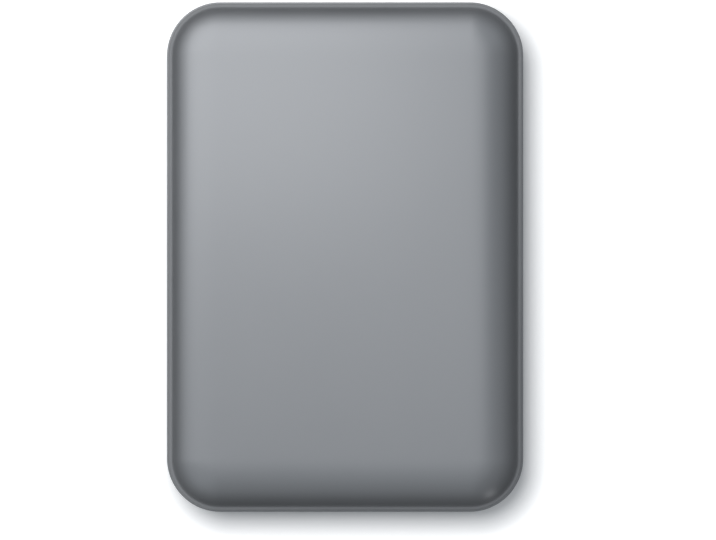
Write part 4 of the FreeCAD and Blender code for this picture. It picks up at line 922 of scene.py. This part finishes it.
class DRIVE_OT_tray(bpy.types.Operator):
    """Lower half of the case: rolled underside, grooved rim, openings in the end, foot recesses and posts"""

    bl_idname = "drive.tray"
    bl_label = "Bottom tray"

    def execute(self, context):
        case = context.scene.drive_case
        path = case_path(case)
        bottom, floor, land = TRAY_LOW[2], TRAY_LOW[2] + case.wall, SEAM - case.tray_land
        wall_edge, wall_side = case.tray_edge - case.wall, case.tray_side - case.wall
        outer = rolled_edge(0, land, bottom, case.tray_edge, case.tray_side, TRAY_ROWS)
        inner = rolled_edge(case.wall, land, floor, wall_edge, wall_side, TRAY_ROWS)
        rows = np.linspace(floor + TRAY_BEND, SEAM - RIM_ROUND, WALL_ROWS)
        openings = self.openings(path, case, rows)
        patches, edges = [], []
        for section, edge_round in ((outer, OPENING_ROUND), (inner, 0)):
            wall = np.column_stack([inset_at(section, rows), rows])
            under = section[section[:, 1] < rows[0] - TOUCH]
            under = np.vstack([wall[:1], under])
            patches.append(skin(carried(path, case.corner, under[:, 0], under[:, 1])))
            around, rings = self.pierced(path, case, wall, openings, edge_round)
            patches += around
            edges.append(rings)
        patches += [rings_between(*pair, np.linspace(0, 1, 4)) for pair in zip(*edges)]
        rim = self.rim(case)
        patches.append(skin(carried(path, case.corner, rim[:, 0], rim[:, 1])))
        strip, grid = flat_cap(path, case.corner, case.tray_edge, bottom)
        patches += [strip, *self.foot_recesses(grid)]
        strip, grid = flat_cap(path, case.corner, case.tray_edge, floor)
        patches += [strip, skin(grid, around=False), *self.posts(floor), *self.cradles(floor)]
        assembled("tray", patches, case_finish(case), "bottom_cover")
        return {"FINISHED"}

    @staticmethod
    def rim(case):
        """Section of the rim: a round outer edge, the groove that shows as the seam, and a bevel inside."""
        deep, inside = SEAM - GROOVE_DEEP, SEAM - 2 * TOUCH
        edge = arc((RIM_ROUND, SEAM - RIM_ROUND), RIM_ROUND, 0, 80, 6)
        groove = [(GROOVE_FROM, SEAM), (GROOVE_FROM + GROOVE_SLANT, deep)]
        groove += [(GROOVE_TO - GROOVE_SLANT, deep), (GROOVE_TO, inside)]
        bevel = [(case.wall - RIM_BEVEL, inside), (case.wall, SEAM - RIM_ROUND)]
        return np.vstack([edge, groove, bevel])

    @staticmethod
    def openings(path, case, rows):
        """Openings in the port end.

        Each is the block of wall cells round it, its middle and half size (x, z), and its corner.
        """
        x = np.where(path[1][:, 1] > 0.5, (path[0] + case.corner * path[1])[:, 0], np.inf)
        socket = (SOCKET_LOW[[0, 2]] - OPENING_GAP, SOCKET_HIGH[[0, 2]] + OPENING_GAP, OPENING_CORNER)
        pipe = (PIPE_LOW[[0, 2]] - [SLOT_GAP, 0], PIPE_HIGH[[0, 2]] + SLOT_GAP, SLOT_CORNER)
        found = []
        for low, high, corner in (socket, pipe):
            near = [np.abs(x - edge).argmin() for edge in (high[0] + OPENING_ROOM, low[0] - OPENING_ROOM)]
            near += [np.abs(rows - edge).argmin() for edge in (low[1] - OPENING_ROOM, high[1] + OPENING_ROOM)]
            found.append((near, (low + high) / 2, (high - low) / 2, corner))
        return found

    @staticmethod
    def on_end(flat, section, corner):
        """Points (x, z) put on the port end's wall.

        y is level along the end, and round a corner it is the circle's sqrt(radius^2 - past^2).
        """
        x, z = flat[..., 0], flat[..., 1]
        radius = corner - np.interp(z, section[:, 1], section[:, 0])
        past = np.maximum(np.abs(x) - (HALF_X - corner), 0)
        return np.stack([x, HALF_Y - corner + np.sqrt(radius**2 - past**2), z], axis=-1)

    def pierced(self, path, case, section, openings, edge_round):
        """A wall with openings, and the ring of points at the edge of each.

        Rings lead from the block's border to the opening, and a quarter circle of rings then rounds its edge.
        """
        wall = carried(path, case.corner, section[:, 0], section[:, 1])
        patches, edges = [without(wall, [opening[0] for opening in openings])], []
        turn = np.linspace(0, math.pi / 2, 5) if edge_round else np.zeros(1)
        for lines, middle, half, corner in openings:
            ring = border_of(wall, *lines)[:, [0, 2]]
            grown = [edge_round * (1 - math.sin(angle)) for angle in turn]
            holes = [rounded_hole(ring, middle, half + more, corner + more) for more in grown]
            shares = np.linspace(0, 1, 7)[:-1, None, None]
            flat = np.concatenate([ring * (1 - shares) + holes[0] * shares, np.stack(holes)])
            rings = self.on_end(flat, section, case.corner)
            rings[len(shares) :, :, 1] -= edge_round * (1 - np.cos(turn))[:, None]
            patches.append(skin(rings.transpose(1, 0, 2)))
            edges.append(rings[-1])
        return patches, edges

    @staticmethod
    def foot_recesses(grid):
        """The flat underside with a round recess for each foot."""
        blocks, patches = [], []
        for name in FEET:
            (low, high), middle = spans(name), middle_of(name)
            lines = [np.abs(grid[:, 0, 0] - middle[0] - away).argmin() for away in (-FOOT_BLOCK, FOOT_BLOCK)]
            lines += [np.abs(grid[0, :, 1] - middle[1] - away).argmin() for away in (-FOOT_BLOCK, FOOT_BLOCK)]
            ring = border_of(grid, *lines)
            middle[2] = ring[0, 2]
            away = (ring - middle) / np.linalg.norm(ring - middle, axis=1, keepdims=True)
            edge = middle + ((high[0] - low[0]) / 2 + RECESS_GAP) * away
            deep = edge + [0, 0, high[2] - middle[2]]
            blocks.append(lines)
            patches += [rings_between(ring, edge, np.linspace(0, 1, 4)), rings_between(edge, deep, [0, 1])]
            patches.append(fan(deep))
        return [without(grid, blocks, around=False), *patches]

    @staticmethod
    def posts(floor):
        """Round posts under the drive and under the bridge board."""
        spindle, board_low = middle_of("platter")[1], spans("bridge_board")[0]
        drive_low = spans("drive_base")[0]
        posts = []
        for x in (-POST_REACH, POST_REACH):
            for y in (-POST_SPREAD, POST_SPREAD):
                posts.append((POST_RADIUS, x, spindle + y, drive_low[2]))
        for step in (-1, 0, 1):
            x = middle_of("bridge_board")[0] + step * BOARD_POST_PITCH
            posts.append((BOARD_POST_RADIUS, x, board_low[1] + BOARD_POST_BACK, board_low[2]))
        patches = []
        for radius, x, y, top in posts:
            profile = softened(floor - ROOT, top - TOUCH, LIP_ROUND)
            patches += bar(round_path(24), radius, profile, middle=(x, y, 0))
        return patches

    @staticmethod
    def cradles(floor):
        """A cradle under each rubber pad, with a rib at both ends of the pad."""
        patches = []
        for name in PADS:
            low, high = spans(name)
            middle, half = middle_of(name), (high[1] - low[1]) / 2 + PAD_GAP
            x = math.copysign(CRADLE_X, middle[0])
            reach = half + CRADLE_RIB
            patches += block(CRADLE_THICK / 2, reach, floor - LIP_GAP, low[2] - TOUCH, (x, middle[1], 0))
            for end in (-half - CRADLE_RIB / 2, half + CRADLE_RIB / 2):
                top = SEAM - LIP_DROP - CRADLE_GAP
                patches += block(CRADLE_THICK / 2, CRADLE_RIB / 2, floor, top, (x, middle[1] + end, 0))
        return patches


class DRIVE_OT_feet(bpy.types.Operator):
    """Rubber feet: a low round pad with a soft edge and a shallow dish underneath"""

    bl_idname = "drive.feet"
    bl_label = "Rubber feet"

    def execute(self, context):
        finish = rubbery("foot rubber", (0.05, 0.05, 0.053))
        dip = np.linspace(1, 0, 6)
        for name in FEET:
            (low, high), middle = spans(name), middle_of(name)
            radius = (high[0] - low[0]) / 2
            inset = FOOT_RIM + (radius - FOOT_RIM) * DISH_REACH * dip
            dish = np.column_stack([inset, FOOT_DISH * dip**2])
            edge = arc((FOOT_ROUND, FOOT_ROUND), FOOT_ROUND, -90, 0, 6)
            profile = np.vstack([dish, edge, [(0, high[2])]]) + [0, low[2]]
            patches = bar(round_path(48), radius, profile, middle=(middle[0], middle[1], 0))
            assembled(f"pad_{name}", patches, finish, name)
        return {"FINISHED"}


class DRIVE_OT_socket(bpy.types.Operator):
    """USB socket and lamp window: a folded steel can with two lobes, gilt contacts, a clear light pipe"""

    bl_idname = "drive.socket"
    bl_label = "USB socket and lamp window"

    def execute(self, context):
        socket = context.scene.drive_socket
        steel = brushed("socket steel", (0.62, 0.62, 0.6), 0.28, (1, 0.03, 1))
        gilt = brushed("gilt contacts", (0.83, 0.6, 0.25), 0.25, (1, 0.05, 1))
        assembled("usb_can", self.can(socket), steel, "usb_shell")
        assembled("usb_contacts", self.contacts(socket), gilt)
        glassy = clear("clear plastic", (0.86, 0.89, 0.9))
        assembled("lamp_window", self.window(), glassy, "light_pipe")
        dress(moulded("socket plastic", (0.03, 0.03, 0.032), 0.45), "usb_contact_block")
        return {"FINISHED"}

    @staticmethod
    def can(socket):
        """The can: a sheet with a round mouth edge, carried round two lobes with a neck between."""
        half, roof = (SOCKET_HIGH[0] - SOCKET_LOW[0]) / 2, SOCKET_HIGH[2] - SOCKET_LOW[2]
        neck, slope = socket.wide - half, socket.chamfer / 2
        after, raised = neck + socket.neck, socket.neck_rise
        floor = [(socket.chamfer - half, 0), (neck - slope, 0), (neck, raised), (after, raised)]
        floor += [(after + slope, 0), (half - socket.chamfer, 0)]
        outline = [*floor, (half, socket.chamfer), (half, roof), (-half, roof), (-half, socket.chamfer)]
        edge, depth = socket.sheet / 2, SOCKET_HIGH[1] - SOCKET_LOW[1]
        section = np.vstack([[(0, 0)], arc((edge, depth - edge), edge, 0, 180, 7), [(socket.sheet, 0)]])
        side = carried(rounded_polygon(outline, socket.bend, 6), 0, section[:, 0], section[:, 1])
        points, faces = skin(side, closed=True)
        return [(turned_over(points, (0, 2, 1), (SOCKET_MIDDLE[0], SOCKET_LOW[1], SOCKET_LOW[2])), faces)]

    @staticmethod
    def contacts(socket):
        """Five contact strips under the tongue of each lobe."""
        tip, back = spans("usb_contact_block")[1][1] - CONTACT_TIP, SOCKET_LOW[1] + CONTACT_BACK
        narrow = SOCKET_HIGH[0] - SOCKET_LOW[0] - socket.wide - socket.neck
        under, middle, half = SOCKET_MIDDLE[2] - TONGUE_THICK / 2, (tip + back) / 2, (tip - back) / 2
        ends = under - CONTACT_PROUD, under + CONTACT_PROUD
        patches = []
        for lobe in (SOCKET_LOW[0] + socket.wide / 2, SOCKET_HIGH[0] - narrow / 2):
            for step in range(-2, 3):
                place = (lobe + step * socket.contact_pitch, middle, 0)
                patches += block(CONTACT_WIDTH / 2, half, *ends, place, corner=CONTACT_PROUD)
        return patches

    @staticmethod
    def window():
        """The light pipe: a bar with round corners and a round edge in front."""
        half = (PIPE_HIGH - PIPE_LOW) / 2
        edge = arc((WINDOW_ROUND, PIPE_HIGH[1] - WINDOW_ROUND), WINDOW_ROUND, 0, 90, 6)
        profile = np.vstack([[(0, PIPE_LOW[1])], edge])
        path = rounded_path(half[0], half[2], WINDOW_CORNER, 5)
        return bar(path, WINDOW_CORNER, profile, (0, 2, 1), (PIPE_MIDDLE[0], 0, PIPE_MIDDLE[2]))


class DRIVE_OT_inside(bpy.types.Operator):
    """Finishes of the boards, the drive and its mechanism"""

    bl_idname = "drive.inside"
    bl_label = "Boards and drive"

    def execute(self, context):
        spindle, pivot = middle_of("platter") * MM, middle_of("pivot_sleeve") * MM
        dress(rubbery("pad rubber", (0.08, 0.08, 0.085)), *PADS)
        dress(circuit("green board", (0.02, 0.12, 0.06)), "bridge_board", "drive_board")
        chips = ("bridge_controller", "bridge_memory", "drive_controller", "motor_driver", "cache_memory")
        dress(moulded("chip plastic", (0.025, 0.025, 0.027), 0.6), *chips)
        dress(brushed("crystal can", (0.72, 0.71, 0.68), 0.25, (0.05, 1, 1)), "bridge_crystal")
        dress(glowing("lamp", (0.9, 0.92, 0.95)), "status_led")
        connectors = ("sata_receptacle", "sata_plug", "flex_bracket")
        dress(moulded("connector plastic", (0.03, 0.03, 0.034), 0.5), *connectors)
        dress(cast("cast aluminium", (0.55, 0.56, 0.57)), "drive_base")
        dress(brushed("lid steel", (0.6, 0.61, 0.62), 0.34, (0.02, 1, 1)), "drive_lid", "disc_clamp")
        dress(rubbery("gasket rubber", (0.03, 0.03, 0.03)), "lid_gasket")
        screws = ("lid_screws", "board_screws", "clamp_screw")
        dress(brushed("screw steel", (0.5, 0.5, 0.51), 0.3, (1, 1, 0.1)), *screws)
        dress(felted("filter felt", (0.85, 0.85, 0.82)), "breather_filter", "air_filter")
        dress(turned_metal("bearing steel", (0.55, 0.55, 0.56), spindle), "spindle_sleeve", "spindle_shaft")
        dress(turned_metal("pivot steel", (0.55, 0.55, 0.56), pivot), "pivot_shaft", "pivot_sleeve")
        dress(turned_metal("hub aluminium", (0.66, 0.67, 0.68), spindle, 0.26), "spindle_hub")
        dress(turned_metal("disc coating", (0.6, 0.595, 0.585), spindle, 0.04, 0.00005, 0.12), "platter")
        dress(brushed("stacked steel", (0.3, 0.31, 0.33), 0.4, (0.1, 0.1, 1)), "stator_core")
        dress(brushed("yoke steel", (0.5, 0.5, 0.5), 0.3, (1, 0.1, 1)), "lower_yoke", "upper_yoke")
        nickel = brushed("nickel", (0.58, 0.57, 0.55), 0.22, (1, 1, 1), 2500)
        dress(nickel, "rotor_magnet", "lower_magnet", "upper_magnet")
        dress(wound("copper wire", (0.72, 0.33, 0.16)), "stator_windings", "voice_coil")
        dress(brushed("arm aluminium", (0.62, 0.63, 0.64), 0.3, (0.05, 1, 1)), "actuator_block")
        springs = ("upper_suspension", "lower_suspension")
        dress(brushed("spring steel", (0.66, 0.66, 0.65), 0.18, (0.05, 1, 1)), *springs)
        dress(moulded("slider ceramic", (0.05, 0.05, 0.055), 0.3), "upper_head", "lower_head")
        dress(moulded("bobbin plastic", (0.5, 0.42, 0.3), 0.5), "coil_frame")
        dress(moulded("ramp plastic", (0.75, 0.72, 0.65), 0.4), "load_ramp")
        return {"FINISHED"}


# Stage


class DRIVE_OT_stage(bpy.types.Operator):
    """White table, soft light from the upper left and a camera square over the case"""

    bl_idname = "drive.stage"
    bl_label = "Table, lamps and camera"

    def execute(self, context):
        stage = context.scene.drive_stage
        self.table(stage)
        self.sky(stage)
        self.lamps(stage)
        self.camera(stage)
        context.scene.view_settings.view_transform = "Standard"
        return {"FINISHED"}

    def table(self, stage):
        """A white table, lit like anything else, that adds a little white of its own for the camera.

        Away from the object its own white takes over, so that it throws little light back. Near the object,
        and off to its lower right, the added white is held back: a painted shadow over the object's real one.
        Shiny surfaces show a share of that white, though not on the dark side, which is painted shade in
        their reflections. Under the object the table glows for them alone, painted light on the case's
        underside. From below the table is not seen.
        """
        mesh = bpy.data.meshes.new("table")
        corners = [(-TABLE_REACH, -TABLE_REACH, 0), (TABLE_REACH, -TABLE_REACH, 0)]
        corners += [(TABLE_REACH, TABLE_REACH, 0), (-TABLE_REACH, TABLE_REACH, 0)]
        mesh.from_pydata(corners, [], [(0, 1, 2, 3)])
        table = bpy.data.objects.new("table", mesh)
        bpy.context.scene.collection.objects.link(table)
        finish = Finish("table white", Roughness=0.8, Specular_IOR_Level=0.2, Emission_Strength=1.0)
        far = finish.place().length().above(*TABLE_FAR)
        kinds = ("Camera", "Glossy", "Transmission")
        rays = [finish.node("ShaderNodeLightPath", {}, {}, f"Is {kind} Ray") for kind in kinds]
        camera, glossy, transmitted = rays
        glow_past_painted_shadow, under = self.round_about(finish, stage)
        # Painted shade: towards the lower right shiny surfaces see less of the table's white
        painted_shade_side = finish.place().dot(LOWER_RIGHT).above(*TABLE_PAINTED_SHADE)
        mirrored = stage.table_glow * (glossy + transmitted).above(0, 1)
        shown = camera * (stage.table_glow + (1 - stage.table_glow) * far)
        shown = shown + stage.table_mirrored * mirrored * (1 - painted_shade_side) * (1 - FAR_LOSS * far)
        finish.feed(
            Base_Color=finish.blend(far, (stage.table_white,) * 3, stage.far_colour),
            # Emission held back near the object paints its shadow darker; under it, glow for reflections only
            # is painted light
            Emission_Color=finish.blend(shown * glow_past_painted_shadow + mirrored * under, (0, 0, 0), (1, 1, 1)),
        )
        below = finish.node("ShaderNodeNewGeometry", {}, {}, "Backfacing")
        empty = finish.node("ShaderNodeBsdfTransparent", {}, {})
        lit = Field(finish, finish.shader.outputs[0])
        both = finish.node("ShaderNodeMixShader", {}, {0: below, 1: lit, 2: empty})
        finish.tree.links.new(both.socket, finish.existing("OUTPUT_MATERIAL").inputs["Surface"])
        mesh.materials.append(finish.material)

    @staticmethod
    def round_about(finish, stage):
        """Two ramps over the distance from the painted shadow's outline: one lifts the table's white beside
        it, one paints light under the object for reflections.

        The distance is sqrt(x^2 + y^2) - corner, with x and y how far a point is past the corners' middles.
        """
        corner = bpy.context.scene.drive_case.corner * MM
        past = []
        for axis, half, moved in zip(((1, 0, 0), (0, 1, 0)), (HALF_X * MM, HALF_Y * MM), stage.painted_shadow_aside):
            away = finish.place().dot(axis) - moved
            past.append(away.math("MAXIMUM", away.math("ABSOLUTE", away, 0) - (half - corner), 0))
        square = past[0] * past[0] + past[1] * past[1]
        distance = square.math("SQRT", square, 0) - corner
        start = -max(stage.painted_shadow_aside)
        return distance.above(start, start + stage.painted_shadow_width), (0 - distance).above(*TABLE_UNDER)

    @staticmethod
    def sky(stage):
        """Plain studio: pale overhead, darker towards the horizon and on the side away from the softboxes."""
        world = bpy.data.worlds.new("studio")
        bpy.context.scene.world = world
        world.use_nodes = True
        nodes = Nodes(world.node_tree)
        where = nodes.node("ShaderNodeTexCoord", {}, {}, "Generated")
        up = stage.horizon + (stage.sky - stage.horizon) * where.dot((0, 0, 1)).above(*SKY_RISE)
        away = 1 - (1 - stage.far_side) * where.dot(LOWER_RIGHT).above(*SKY_DARK_SIDE)
        colour = nodes.blend(up * away, (0, 0, 0), stage.sky_colour)
        nodes.tree.links.new(colour.socket, nodes.existing("BACKGROUND").inputs["Color"])

    @staticmethod
    def lamps(stage):
        """A wide softbox, a near one off the upper left, and a low lamp for a glint.

        The softboxes face down. The low lamp is small, and shows only in the lower right corner of the cover.
        """
        for name, kind in (("key", "AREA"), ("near", "AREA"), ("low", "POINT")):
            lamp = bpy.data.lights.new(f"{name} lamp", kind)
            size = getattr(stage, f"{name}_size")
            if kind == "AREA":
                lamp.size = size
            else:
                lamp.shadow_soft_size = size / 2
            lamp.energy = getattr(stage, f"{name}_power")
            holder = bpy.data.objects.new(lamp.name, lamp)
            holder.location = getattr(stage, f"{name}_place")
            holder.visible_camera = False
            bpy.context.scene.collection.objects.link(holder)

    @staticmethod
    def camera(stage):
        """A long lens straight down, so that the picture's width shows the seam at the wanted scale."""
        data = bpy.data.cameras.new("camera")
        data.sensor_width = 36
        data.lens = data.sensor_width * stage.distance / (PICTURE_WIDTH / stage.pixels_per_mm * MM)
        data.clip_end = 10
        camera = bpy.data.objects.new("camera", data)
        camera.location = (*stage.aside, SEAM * MM + stage.distance)
        bpy.context.scene.collection.objects.link(camera)
        bpy.context.scene.camera = camera


class DRIVE_PT_panel(bpy.types.Panel):
    """Settings and a button for each group of pieces"""

    bl_idname = "DRIVE_PT_panel"
    bl_label = "External hard drive"
    bl_space_type = "VIEW_3D"
    bl_region_type = "UI"
    bl_category = "Drive"

    def draw(self, context):
        for group, kind in SETTINGS.items():
            for name in kind.__annotations__:
                self.layout.prop(getattr(context.scene, group), name)
        for operator in OPERATORS:
            self.layout.operator(operator.bl_idname)


SETTINGS = {"drive_case": CaseSettings, "drive_socket": SocketSettings, "drive_stage": StageSettings}
OPERATORS = (DRIVE_OT_cover, DRIVE_OT_tray, DRIVE_OT_feet, DRIVE_OT_socket, DRIVE_OT_inside, DRIVE_OT_stage)
CLASSES = (*SETTINGS.values(), *OPERATORS, DRIVE_PT_panel)


def register():
    for kind in CLASSES:
        bpy.utils.register_class(kind)
    for name, kind in SETTINGS.items():
        setattr(bpy.types.Scene, name, PointerProperty(type=kind))


def unregister():
    for name in SETTINGS:
        delattr(bpy.types.Scene, name)
    for kind in reversed(CLASSES):
        bpy.utils.unregister_class(kind)


def main():
    register()
    bpy.ops.drive.cover()
    bpy.ops.drive.tray()
    bpy.ops.drive.feet()
    bpy.ops.drive.socket()
    bpy.ops.drive.inside()
    bpy.ops.drive.stage()


if __name__ == "__main__":
    main()
